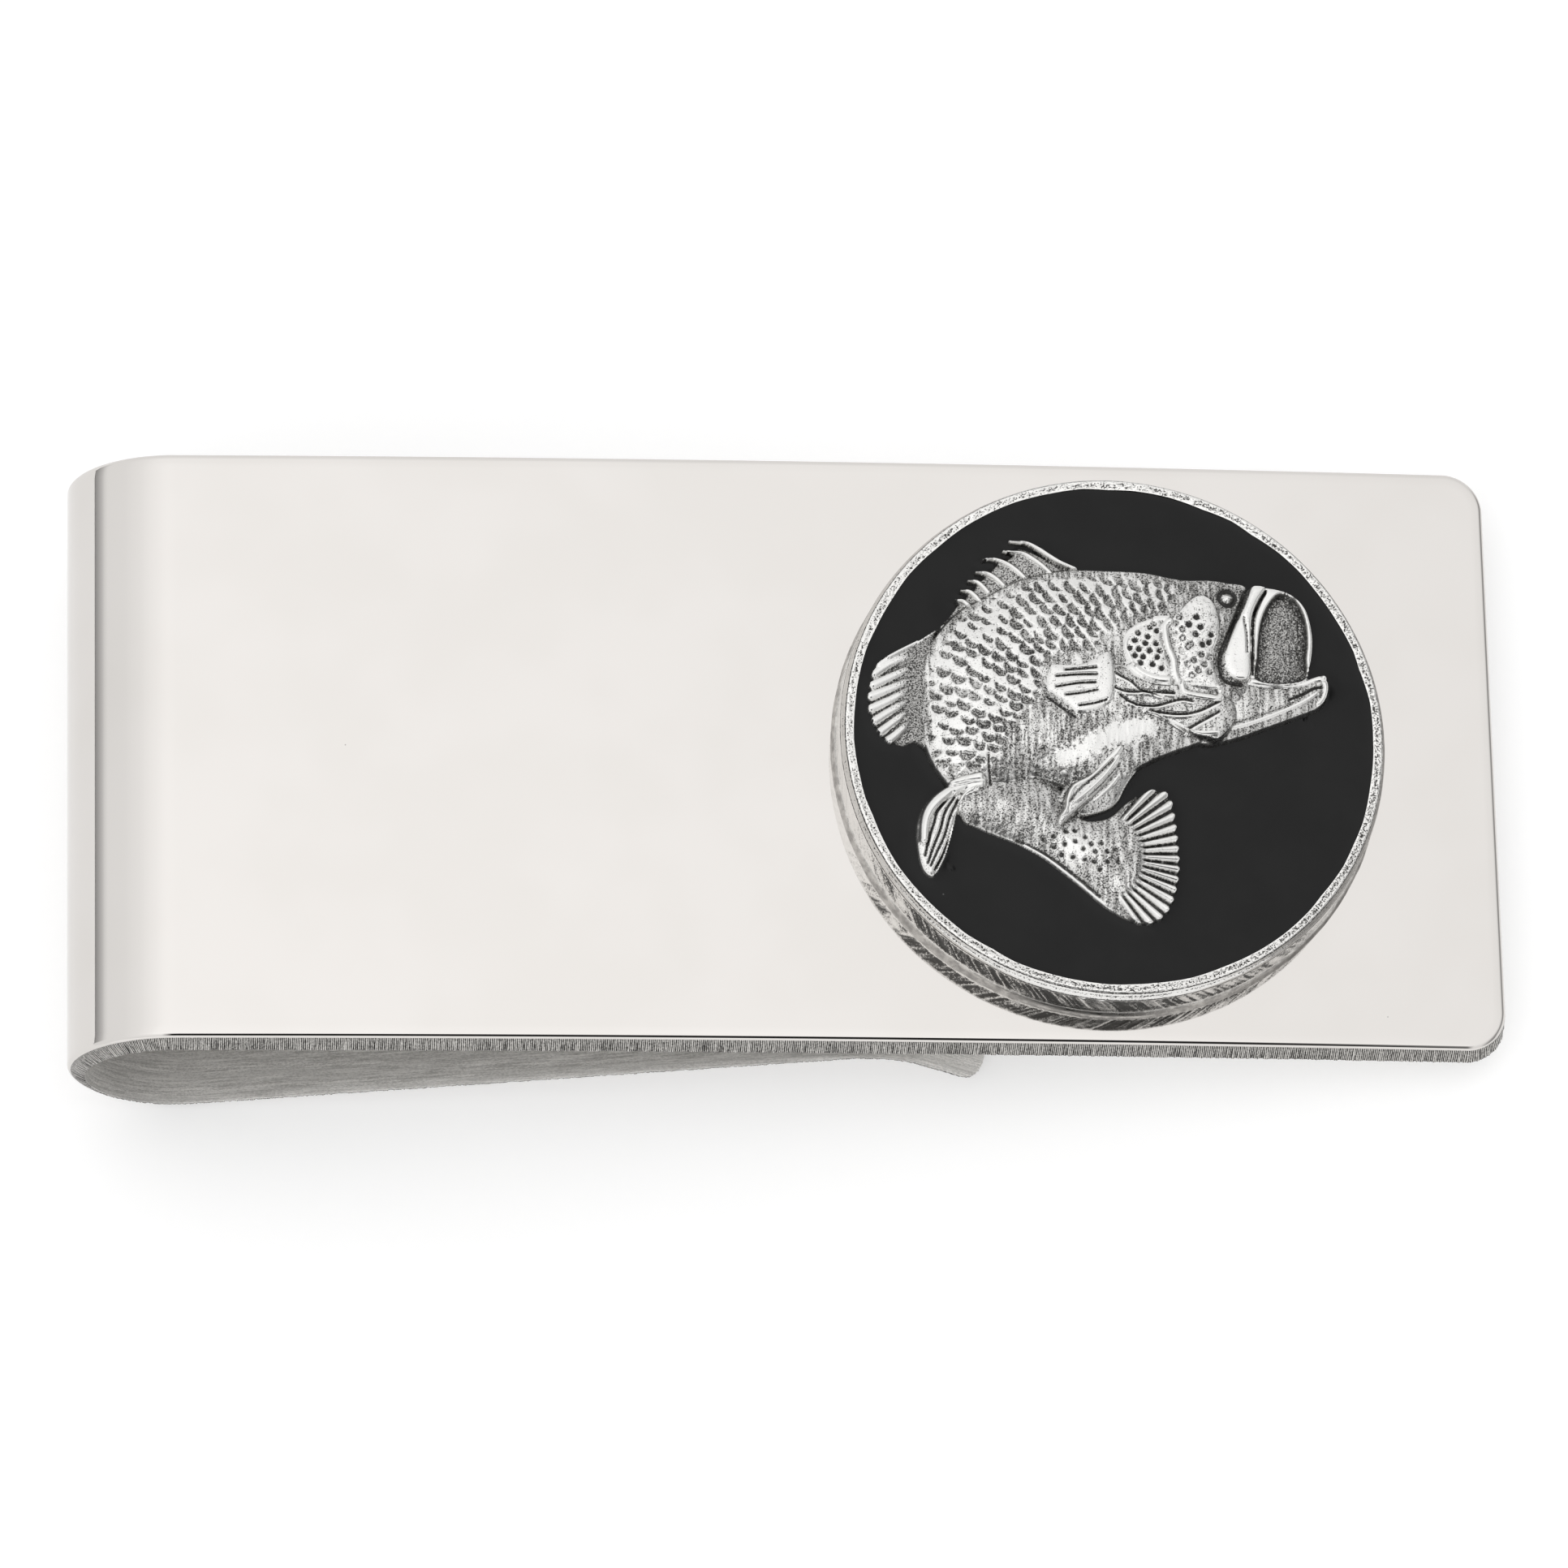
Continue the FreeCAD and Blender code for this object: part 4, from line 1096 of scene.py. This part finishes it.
def lay_spiny_fin(relief):
    d = relief.distance(SPINY_WEB, True)
    relief.merge(dome(d, 0.62, 0.74, 0.8, 0.10), 0.46, d)
    for spine in SPINES:
        stroke, share = relief.distance(spine, False, 0.5)
        width = 0.065 + 0.065 * smoothstep(0.0, 0.5, share)
        inside = width - stroke
        bead = half_round(stroke, width)
        relief.merge(SUNK + (0.88 - SUNK) * bead ** 0.7, 0.02 + 0.1 * share, inside)


def lay_soft_fin(relief):
    d = relief.distance(SOFT_FIN, True)
    web = dome(d, 0.60, 0.66, 1.0, 0.10) + 0.26 * smoothstep(-8.2, -7.1, relief.x)
    relief.merge(web, 0.52 + 0.25 * smoothstep(-8.0, -8.9, relief.x), d)
    for ray in SOFT_RAYS:
        stroke, share = relief.distance(ray, False, 0.5)
        width = 0.20 * (1 - 0.35 * share)
        bead = half_round(stroke, width)
        top = 0.60 + 0.20 * bead * (1 - 0.5 * share) + 0.06 * share
        relief.merge(np.where(bead > 0, top, 0), 0.05 + 0.45 * share ** 2,
                     np.minimum(width - stroke, d + 0.08))
    relief.ridge([(-6.4, 4.3), (-7.2, 3.72), (-8.0, 3.25), (-8.6, 2.9)], 0.08, 0.07, 0.15)


def lay_tail(relief):
    d = relief.distance(TAIL, True)
    fx = relief.x - FAN_CENTRE[0]
    fy = relief.y - FAN_CENTRE[1]
    out = np.hypot(fx, fy)
    turn = np.arctan2(fy, fx)
    phase = (turn - FAN_FIRST) / (FAN_LAST - FAN_FIRST) * FAN_RAYS
    ray = 0.5 - 0.5 * np.cos(2 * math.pi * phase)
    in_fan = (turn > FAN_FIRST - 0.1) & (turn < FAN_LAST + 0.15) & (fx > -0.6)
    fan = smoothstep(FAN_ROOT - 0.1, FAN_ROOT + 0.25, out) * in_fan
    d = d - 0.09 * (1 - np.sqrt(np.clip(ray, 0, 1))) * fan
    base = dome(d, 0.62, 1.0, 1.6, 0.12)
    fin = 0.64 + 0.20 * np.sqrt(np.clip(ray, 0, 1)) + 0.06 * smoothstep(3.6, 2.0, out)
    height = base * (1 - fan) + (SUNK + (fin - SUNK) * steep_lip(d, 0.12)) * fan
    grain = relief.noise(0.085, 0.5, 71)
    black = 0.42 + 0.13 * grain
    black = black * (1 - fan) + fan * (0.14 + 0.62 * smoothstep(0.30, 0.02, ray))
    cut, spot = pits(relief, TAIL_SPOTS, 0.09, 0.08)
    shine = smoothstep(1.1, 0.2, np.hypot((relief.x + 1.6) / 1.3, (relief.y + 4.6) / 0.8))
    black = black - 0.22 * shine * (1 - fan)
    height = height - cut * (1 - fan)
    black = np.maximum(black, 0.75 * spot * (1 - fan))
    relief.merge(height, black, d)
    relief.carve([(-3.9, -4.3), (-3.0, -4.75), (-2.2, -5.3), (-1.4, -5.95), (-0.8, -6.5)], 0.06, 0.07, 0.85)
    relief.ridge([(-3.6, -4.52), (-2.8, -5.0), (-2.0, -5.65), (-1.2, -6.35), (-0.6, -6.85)], 0.07, 0.05, 0.1)


def lay_lower_lobe(relief):
    relief.part(LOWER_LOBE, 0.75, 1.0, 0.9, 0.10, 0.36)
    relief.ridge([(0.25, -1.5), (-0.3, -2.2), (-0.9, -2.75)], 0.06, 0.04, 0.15)


def lay_anal_fin(relief):
    relief.part(ANAL, 0.66, 0.80, 0.5, 0.12, 0.25)
    for groove in ANAL_GROOVES:
        relief.carve(groove, 0.05, 0.10, 0.85)
    relief.ridge(ANAL_BAND, 0.30, 0.20, 0.0, 0.45)
    relief.ridge(ANAL_EDGE, 0.08, 0.12, 0.03, 0.2)


def lay_body(relief):
    d = relief.distance(BODY, True)
    scaled = relief.distance(SCALED, True)
    on_scales = smoothstep(-0.05, 0.35, scaled)
    height = dome(d, 0.88, 1.42, 2.6, 0.16)
    marks, hollow = scale_pattern(relief)
    lines = relief.noise(0.07, 0.45, 81)
    grain = relief.noise(0.12, 0.12, 82)
    fade = relief.noise(1.4, 1.4, 83)
    plain = 0.42 + 0.17 * lines + 0.06 * grain + 0.08 * fade
    # painted highlight: the belly is left less black along this line
    shine, _ = relief.distance(BELLY_HIGHLIGHT_LINE, False, 1.2)
    plain = plain - (0.30 + 0.15 * lines) * smoothstep(0.55, 0.1, shine + 0.2 * grain)
    black = 0.21 + 0.10 * grain + 0.09 * lines + (0.34 + 0.10 * fade) * hollow
    black = black * on_scales + plain * (1 - on_scales)
    height = height + marks * on_scales + 0.006 * lines * (1 - on_scales)
    relief.merge(height, black, d)
    relief.carve([(-4.95, -1.1), (-4.92, -1.6), (-4.85, -2.15)], 0.045, 0.08, 0.8)


def lay_pelvic_fin(relief):
    relief.part(PELVIC, 1.12, 1.25, 0.4, 0.12, 0.28)
    relief.ridge(PELVIC_EDGE, 0.10, 0.09, 0.0)
    relief.ridge([(0.05, -1.05), (-0.5, -1.8), (-1.1, -2.4), (-1.7, -2.9)], 0.07, 0.06, 0.05)
    relief.carve([(-0.2, -1.2), (-0.8, -1.8), (-1.5, -2.4), (-1.9, -2.9)], 0.05, 0.06, 0.6)
    relief.carve([(0.05, -1.35), (-0.5, -2.0), (-1.2, -2.7)], 0.04, 0.05, 0.5)


def lay_head(relief):
    relief.part(LIP, 0.95, 1.02, 0.3, 0.12, 0.03)
    mouth = relief.distance(MOUTH, True)
    grain = relief.noise(0.09, 0.09, 91)
    hollow = smoothstep(-0.02, 0.12, mouth)
    floor = 0.72 + 0.05 * grain + 0.12 * smoothstep(0.2, 0.9, mouth)
    inside = mouth > -0.02
    relief.height = np.where(inside, relief.height * (1 - hollow) + floor * hollow, relief.height)
    dark = 0.50 + 0.26 * smoothstep(0.50, 0.0, mouth)
    relief.tarnish_and_shade = np.where(inside, dark * hollow + relief.tarnish_and_shade * (1 - hollow), relief.tarnish_and_shade)

    lines = relief.noise(0.075, 0.8, 92)
    relief.part(JAW, 0.85, 1.10, 0.9, 0.13, 0.40 + 0.15 * lines)
    relief.ridge(JAW_LIP, 0.15, 0.12, 0.0)
    relief.ridge(JAW_FRONT, 0.12, 0.10, 0.0)
    relief.carve(TEETH, 0.06, 0.12, 0.95)
    relief.carve([(4.3, 0.35), (5.5, 0.72), (6.5, 1.12), (7.1, 1.42)], 0.04, 0.05, 0.5)
    relief.ridge(JAW_LINE, 0.07, 0.06, 0.0)
    relief.part(MAXILLA, 1.28, 1.36, 0.35, 0.10, 0.10 + 0.10 * lines)


def lay_gills(relief):
    lines = relief.noise(0.075, 0.7, 95)
    relief.part(GILL_SKIRT, 1.30, 1.42, 0.7, 0.12, 0.38 + 0.15 * lines)
    for line in GILL_LINES:
        relief.carve(line, 0.05, 0.09, 0.8)
        relief.ridge([(x + 0.03, y - 0.12) for x, y in line], 0.06, 0.04, 0.03)
    relief.ridge([(0.4, 1.0), (1.2, 0.72), (2.2, 0.25), (3.0, -0.1), (3.9, -0.1)], 0.07, 0.05, 0.05)
    relief.carve([(0.15, 1.35), (0.5, 1.08), (0.75, 0.98)], 0.05, 0.10, 0.95)


def lay_cheek(relief):
    grain = relief.noise(0.1, 0.1, 96)
    for outline, spots, radius, depth, low, high, width, edge, base in (
            (CHEEK, CHEEK_SPOTS, 0.115, 0.09, 1.38, 1.50, 0.7, 0.10, 0.26),
            (OPERCLE, OPERCLE_SPOTS, 0.105, 0.08, 1.42, 1.52, 0.5, 0.12, 0.24)):
        d = relief.distance(outline, True)
        cut, spot = pits(relief, spots, radius, depth)
        black = np.maximum(base + 0.12 * grain, 0.95 * spot)
        relief.merge(dome(d, low, high, width, edge) - cut, black, d)
    relief.ridge(OPERCLE_EDGE, 0.09, 0.05, 0.0)
    relief.ridge([(0.62, 2.45), (0.95, 2.15), (1.45, 1.95), (2.0, 1.9)], 0.17, 0.10, 0.0)
    relief.ridge(PREOPERCLE, 0.13, 0.10, 0.0)
    relief.ridge(CHEEK_RIM, 0.13, 0.10, 0.0)
    relief.ridge([(1.6, 4.4), (2.0, 4.45), (2.15, 4.3)], 0.12, 0.05, 0.0)


def lay_jaw_grooves(relief):
    """The black seams round the maxilla, cut last so that nothing covers them."""
    relief.carve(MAXILLA_LEFT, 0.095, 0.13, 0.80)
    relief.carve(MAXILLA_RIGHT, 0.045, 0.12, 0.80)
    relief.carve([(5.0, 4.6), (5.1, 3.9), (5.1, 3.2)], 0.05, 0.06, 0.55)


def lay_eye(relief):
    d = np.hypot(relief.x - EYE[0], relief.y - EYE[1])
    socket = smoothstep(0.75, 0.3, d)
    relief.height = relief.height - 0.05 * socket + 0.08 * smoothstep(0.20, 0.0, d)
    ring = np.exp(-((d - 0.31) / 0.10) ** 2)
    relief.height = relief.height - 0.09 * ring + 0.04 * np.exp(-((d - 0.44) / 0.06) ** 2)
    relief.tarnish_and_shade = np.maximum(relief.tarnish_and_shade * (1 - 0.8 * smoothstep(0.26, 0.1, d)), 1.2 * ring)
    relief.tarnish_and_shade = np.maximum(relief.tarnish_and_shade, 0.55 * smoothstep(0.9, 0.4, d) * (d > 0.3))


def lay_pectoral(relief):
    relief.part(PECTORAL, 1.42, 1.52, 0.4, 0.12, 0.17 + 0.16 * relief.noise(0.07, 0.4, 94))
    for slot in PECTORAL_SLOTS:
        relief.carve(slot, 0.048, 0.11, 0.72)
    relief.carve([(-2.65, 1.2), (-2.1, 0.78), (-1.6, 0.42)], 0.05, 0.10, 0.9)


def blurred(field, cells):
    """A soft average over about that many cells each way."""
    spread = np.arange(-2 * cells, 2 * cells + 1)
    kernel = np.exp(-(spread / cells) ** 2)
    kernel /= kernel.sum()
    field = np.apply_along_axis(np.convolve, 0, field, kernel, mode="same")
    return np.apply_along_axis(np.convolve, 1, field, kernel, mode="same")


def carve_bass():
    """The whole bass, from the parts that lie lowest to those that lie over them."""
    relief = Relief()
    for lay in (lay_soft_fin, lay_spiny_fin, lay_tail, lay_lower_lobe, lay_head, lay_body, lay_anal_fin,
                lay_pelvic_fin, lay_gills, lay_pectoral, lay_cheek, lay_jaw_grooves, lay_eye):
        lay(relief)
    # black stays in what lies below its surroundings, and is buffed off what stands above them
    solid = np.where(relief.reach > 0, relief.height, ENAMEL_THICKNESS)
    sunk = blurred(solid, 3) - solid
    relief.tarnish_and_shade = relief.tarnish_and_shade + 2.2 * np.clip(sunk - 0.01, 0, 0.3) - 0.6 * np.clip(-sunk, 0, 0.15)
    relief.tarnish_and_shade = np.clip(relief.tarnish_and_shade, 0.0, 1.0)
    grit = relief.noise(0.085, 0.085, 99)
    relief.height = relief.height + 0.012 * grit * smoothstep(0.1, 0.6, relief.tarnish_and_shade)
    return relief


def cell_corners(grid):
    """The four corners of every cell of a grid, in order round the cell."""
    return grid[:-1, :-1], grid[1:, :-1], grid[1:, 1:], grid[:-1, 1:]


def make_bass(relief, material):
    """The field as a mesh, open underneath; cells on its edge are drawn in to the true outline."""
    height = relief.height
    reach = relief.reach
    gx, gy = np.gradient(reach, CELL)
    size = np.maximum(np.hypot(gx, gy), 0.5)
    solid = reach > -0.6 * CELL
    cell = np.logical_and.reduce(cell_corners(solid))
    used = np.zeros(solid.shape, bool)
    for corner in cell_corners(used):
        corner |= cell
    every = np.logical_and.reduce(cell_corners(cell))
    border = used.copy()
    border[1:-1, 1:-1] &= ~every
    pull = np.where(border, np.clip(reach, -CELL, CELL), 0.0)
    x = relief.x - pull * gx / size ** 2
    y = relief.y - pull * gy / size ** 2
    top = np.where(border, np.minimum(height, SUNK), height)
    number = np.full(solid.shape, -1)
    number[used] = np.arange(used.sum())
    points = np.stack([GROWTH * x[used], GROWTH * y[used], RECESS_FLOOR + top[used]], 1)
    faces = np.stack([corner[cell] for corner in cell_corners(number)], 1).tolist()
    return new_piece("bass_casting", moved(SEAT, points), faces, [material],
                     values={"tarnish_and_shade": relief.tarnish_and_shade[used]})


def close_underside(obj):
    """Carries the open border straight down to the recess's floor and closes it there."""
    work = bmesh.new()
    work.from_mesh(obj.data)
    border = [edge for edge in work.edges if edge.is_boundary]
    made = bmesh.ops.extrude_edge_only(work, edges=border)["geom"]
    skirt = [item for item in made if isinstance(item, bmesh.types.BMVert)]
    inverse = SEAT.inverted()
    for vertex in skirt:
        point = inverse @ (vertex.co / MM)
        point.z = RECESS_FLOOR
        vertex.co = (SEAT @ point) * MM
    rim = [edge for edge in work.edges if edge.is_boundary]
    bmesh.ops.triangle_fill(work, use_beauty=False, use_dissolve=False, edges=rim)
    bmesh.ops.recalc_face_normals(work, faces=work.faces)
    for face in work.faces:
        face.smooth = True
    work.to_mesh(obj.data)
    work.free()
    obj.data.set_sharp_from_angle(angle=math.radians(75))


ENAMEL_RINGS = 150
ENAMEL_SEGMENTS = 500
BUBBLES = [(-6.45, -5.45, 0.10), (7.42, 0.93, 0.11), (7.75, 0.62, 0.05)]      # x, y, radius
SWELLS = [(8.3, 1.9, 0.10, 0.45), (-7.0, -5.3, 0.10, 0.5), (-6.8, 4.6, 0.03, 0.6)]     # x, y, height, spread


def make_enamel(relief, material):
    """The poured enamel: level, drawn up against the rim and the casting, with a few bubbles."""
    angle = np.linspace(0, 2 * math.pi, ENAMEL_SEGMENTS, endpoint=False)
    radii = RECESS_RADIUS * np.linspace(0.004, 1, ENAMEL_RINGS) ** 0.8
    edge = chord_radius(angle, RECESS_SEED)
    rows = []
    for radius in radii:
        share = radius / RECESS_RADIUS
        reach = radius + (edge - RECESS_RADIUS) * share ** 8 + 0.03 * share ** 20
        rows.append(np.stack([reach * np.cos(angle), reach * np.sin(angle)], 1))
    plan = np.vstack(rows)
    corner = np.array([relief.x[0, 0], relief.y[0, 0]])
    cell = ((plan / GROWTH - corner) / CELL).round().astype(int)
    cell = np.clip(cell, 0, np.array(relief.x.shape) - 1)
    outside = np.clip(-blurred(np.maximum(relief.reach, -1.0), 2)[cell[:, 0], cell[:, 1]], 0, None)
    to_rim = np.clip(np.interp(np.arctan2(plan[:, 1], plan[:, 0]) % (2 * math.pi), angle, edge)
                     - np.hypot(plan[:, 0], plan[:, 1]), 0, None)
    height = np.full(len(plan), ENAMEL_THICKNESS)
    height += 0.05 * np.exp(-outside / 0.12) + 0.03 * np.exp(-to_rim / 0.12)
    for cx, cy, rise, spread in SWELLS:
        height += rise * np.exp(-(np.hypot(plan[:, 0] - cx, plan[:, 1] - cy) / spread) ** 2)
    height += 0.003 * value_noise(plan[:, 0], plan[:, 1], 1.3, 1.3, 101)
    for cx, cy, size in BUBBLES:
        d = np.hypot(plan[:, 0] - cx, plan[:, 1] - cy) / size
        height += 0.8 * size * np.sqrt(np.clip(1 - d * d, 0, 1))
    points = np.column_stack([plan, RECESS_FLOOR + height])
    wall = points[-ENAMEL_SEGMENTS:].copy()
    wall[:, 2] = RECESS_FLOOR
    points = np.vstack([points, wall])
    faces = ring_faces(ENAMEL_RINGS + 1, ENAMEL_SEGMENTS)
    return new_piece("enamel_pool", moved(SEAT, points), faces, [material])


# ------------------------------------------------------------
# Stage: table, light and camera
# ------------------------------------------------------------
TABLE_HALF_SIZE = 0.6    # metres


def make_table(material):
    corners = [(x * TABLE_HALF_SIZE, y * TABLE_HALF_SIZE, 0) for x, y in ((-1, -1), (1, -1), (1, 1), (-1, 1))]
    mesh = bpy.data.meshes.new("table_top")
    mesh.from_pydata(corners, [], [(0, 1, 2, 3)])
    mesh.materials.append(material)
    table = bpy.data.objects.new("table_top", mesh)
    bpy.context.scene.collection.objects.link(table)


# Ramps of the light tent: (direction's X, Y or Z part, shade) stops.
TENT_TOP = [(0.60, 0.73), (0.80, 0.79), (0.915, 0.88), (0.95, 0.94), (1.0, 0.97)]
TENT_RISE = [(-1.0, 0.70), (0.0, 0.70), (0.21, 0.71), (0.31, 0.72)] + TENT_TOP
NEAR_RISE = [(-1.0, 0.97), (0.0, 0.97), (0.16, 0.97), (0.28, 0.72)] + TENT_TOP
NEAR_SHARE = [(-1, 1), (-0.85, 1), (-0.6, 0), (1, 0)]
LEFT_RISE = [
    (-1.0, 0.03), (-0.015, 0.03), (0.005, 0.26), (0.075, 0.36), (0.155, 0.48), (0.235, 0.66), (0.295, 0.72),
]
LEFT_SHARE = [(-1, 1), (-0.75, 1), (-0.5, 0), (1, 0)]
LOW_SHARE = [(-1, 1), (0.285, 1), (0.305, 0), (1, 0)]
LEVEL_SHARE = [(-1, 0), (0.05, 0), (0.20, 1), (0.50, 1), (0.65, 0), (1, 0)]
SLOT_SIDE = [(-1, 0), (-0.16, 0), (0.0, 1), (0.30, 1), (0.46, 0), (1, 0)]
SLOT_RISE = [(-1, 0), (0.48, 0), (0.56, 1), (0.93, 1), (0.96, 0), (1, 0)]
SLOT_NEAR = [(-1.0, 1), (-0.28, 1), (-0.14, 0), (1.0, 0)]
SLOT_SHADE = 0.02
ACROSS = [
    (-1, 1), (0.22, 1.0), (0.40, 0.96), (0.62, 0.95), (0.80, 0.40), (0.92, 0.35), (0.96, 0.95), (1, 0.95),
]
TENT_STRENGTH = 1.45


class TentNodes:
    """The world's nodes: shades that depend on the direction."""

    def __init__(self, tree):
        self.tree = tree
        direction = tree.nodes.new("ShaderNodeTexCoord").outputs["Generated"]
        self.parts = tree.nodes.new("ShaderNodeSeparateXYZ")
        tree.links.new(direction, self.parts.inputs[0])

    def spread(self, value, from_ends=(0.0, 1.0), to_ends=(0.0, 1.0)):
        """A value carried from one range to another."""
        node = self.tree.nodes.new("ShaderNodeMapRange")
        for name, number in zip(("From Min", "From Max", "To Min", "To Max"), from_ends + to_ends):
            node.inputs[name].default_value = number
        self.tree.links.new(value, node.inputs["Value"])
        return node.outputs["Result"]

    def ramp(self, part, stops, high=1.0):
        """A grey ramp over one part of the direction, from -1 to high."""
        node = self.tree.nodes.new("ShaderNodeValToRGB")
        points = node.color_ramp.elements
        while len(points) < len(stops):
            points.new(0.5)
        for point, (place, shade) in zip(points, stops):
            point.position = (place + 1) / (high + 1)
            point.color = (shade, shade, shade, 1)
        spread = self.spread(self.parts.outputs[part], (-1.0, high))
        self.tree.links.new(spread, node.inputs["Fac"])
        return node.outputs["Color"]

    def choose(self, factor, first, second):
        """The first shade where the factor is 0, the second where it is 1."""
        node = self.tree.nodes.new("ShaderNodeMix")
        for name, value in (("Factor", factor), ("A", first), ("B", second)):
            self.tree.links.new(value, node.inputs[name])
        return node.outputs["Result"]

    def times(self, first, second):
        node = self.tree.nodes.new("ShaderNodeMath")
        node.operation = "MULTIPLY"
        self.tree.links.new(first, node.inputs[0])
        self.tree.links.new(second, node.inputs[1])
        return node.outputs[0]


def make_light_tent():
    """A white tent: dim low on the left and at the right, bright low on the near side, with a slit."""
    world = bpy.data.worlds.new("light_tent")
    bpy.context.scene.world = world
    world.use_nodes = True
    nodes = TentNodes(world.node_tree)
    tent = nodes.choose(nodes.ramp("Y", NEAR_SHARE), nodes.ramp("Z", TENT_RISE), nodes.ramp("Z", NEAR_RISE))
    low_left = nodes.times(nodes.ramp("X", LEFT_SHARE), nodes.ramp("Z", LOW_SHARE))
    low_left = nodes.times(low_left, nodes.ramp("Y", LEVEL_SHARE))
    tent = nodes.choose(low_left, tent, nodes.ramp("Z", LEFT_RISE, 0.3))
    slot = nodes.times(nodes.ramp("X", SLOT_SIDE), nodes.ramp("Z", SLOT_RISE))
    slot = nodes.times(slot, nodes.ramp("Y", SLOT_NEAR))
    shut = nodes.spread(slot, to_ends=(1.0, SLOT_SHADE))
    shade = nodes.times(nodes.times(tent, nodes.ramp("X", ACROSS)), shut)
    background = world.node_tree.nodes["Background"]
    world.node_tree.links.new(shade, background.inputs["Color"])
    background.inputs["Strength"].default_value = TENT_STRENGTH


CAMERA_TARGET = (0.109, -0.911, 4.0)     # millimetres, like the distance and the lens
CAMERA_DISTANCE = 399.4
CAMERA_ELEVATION = math.radians(70.993)
CAMERA_AZIMUTH = math.radians(2.533)
CAMERA_ROLL = math.radians(-4.028)
CAMERA_LENS = 237.82
CAMERA_SENSOR = 36.0


def make_camera():
    level = math.cos(CAMERA_ELEVATION)
    back = Vector((math.sin(CAMERA_AZIMUTH) * level, -math.cos(CAMERA_AZIMUTH) * level,
                   math.sin(CAMERA_ELEVATION)))
    right = (-back).cross(Vector((0, 0, 1))).normalized()
    up = right.cross(-back)
    turned_right = right * math.cos(CAMERA_ROLL) + up * math.sin(CAMERA_ROLL)
    turned_up = up * math.cos(CAMERA_ROLL) - right * math.sin(CAMERA_ROLL)
    data = bpy.data.cameras.new("product_camera")
    data.lens = CAMERA_LENS
    data.sensor_width = CAMERA_SENSOR
    data.clip_start = 0.01
    camera = bpy.data.objects.new("product_camera", data)
    pose = Matrix((turned_right, turned_up, back)).transposed().to_4x4()
    pose.translation = (Vector(CAMERA_TARGET) + back * CAMERA_DISTANCE) * MM
    camera.matrix_world = pose
    bpy.context.scene.collection.objects.link(camera)
    bpy.context.scene.camera = camera


# ------------------------------------------------------------
# Assembly
# ------------------------------------------------------------
RIM_BRIGHT, RIM_BLACK = (0.80, 0.79, 0.77, 1), (0.045, 0.043, 0.04, 1)
SILVER_BRIGHT, SILVER_BLACK = (0.76, 0.755, 0.74, 1), (0.035, 0.034, 0.032, 1)


def add_strip():
    metals = [polished_metal(), sheared_metal(), satin_metal()]
    plate = make_strip("front_plate_sheet", PLATE_SEAM, -1, PLATE_SEAM, PLATE_CORNER, metals, 201)
    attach(plate, "front")
    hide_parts("front_plate")
    tongue = make_strip("tongue_sheet", TONGUE_SEAM, 1, PATH_LENGTH - TONGUE_SEAM, TIP_CORNER,
                        metals, 202)
    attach(tongue, "tongue")
    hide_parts("spring_tongue")
    bend = make_strip("fold_bend", PLATE_SEAM, 1, TONGUE_SEAM - PLATE_SEAM, 0.0, metals, 203)
    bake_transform(bend)


def add_medallion():
    rim = cast_metal("cast_rim", RIM_BRIGHT, RIM_BLACK, grain=14000, softness=0.10, film=0.3)
    silver = cast_metal("cast_silver", SILVER_BRIGHT, SILVER_BLACK, grain=16000, softness=0.14, film=0.85)
    solder = make_solder(solder_metal())
    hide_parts("solder_layer")
    tray = make_medallion(rim)
    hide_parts("medallion")
    relief = carve_bass()
    bass = make_bass(relief, silver)
    close_underside(bass)
    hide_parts("bass_relief")
    enamel = make_enamel(relief, enamel_glass())
    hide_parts("enamel_fill")
    for piece, slot in ((solder, "solder"), (tray, "antiqued_casting"), (bass, "antiqued_casting"),
                        (enamel, "black_enamel")):
        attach(piece, "front")


make_table(table_white())
make_light_tent()
make_camera()
add_strip()
add_medallion()
bpy.context.scene.view_settings.view_transform = "Standard"
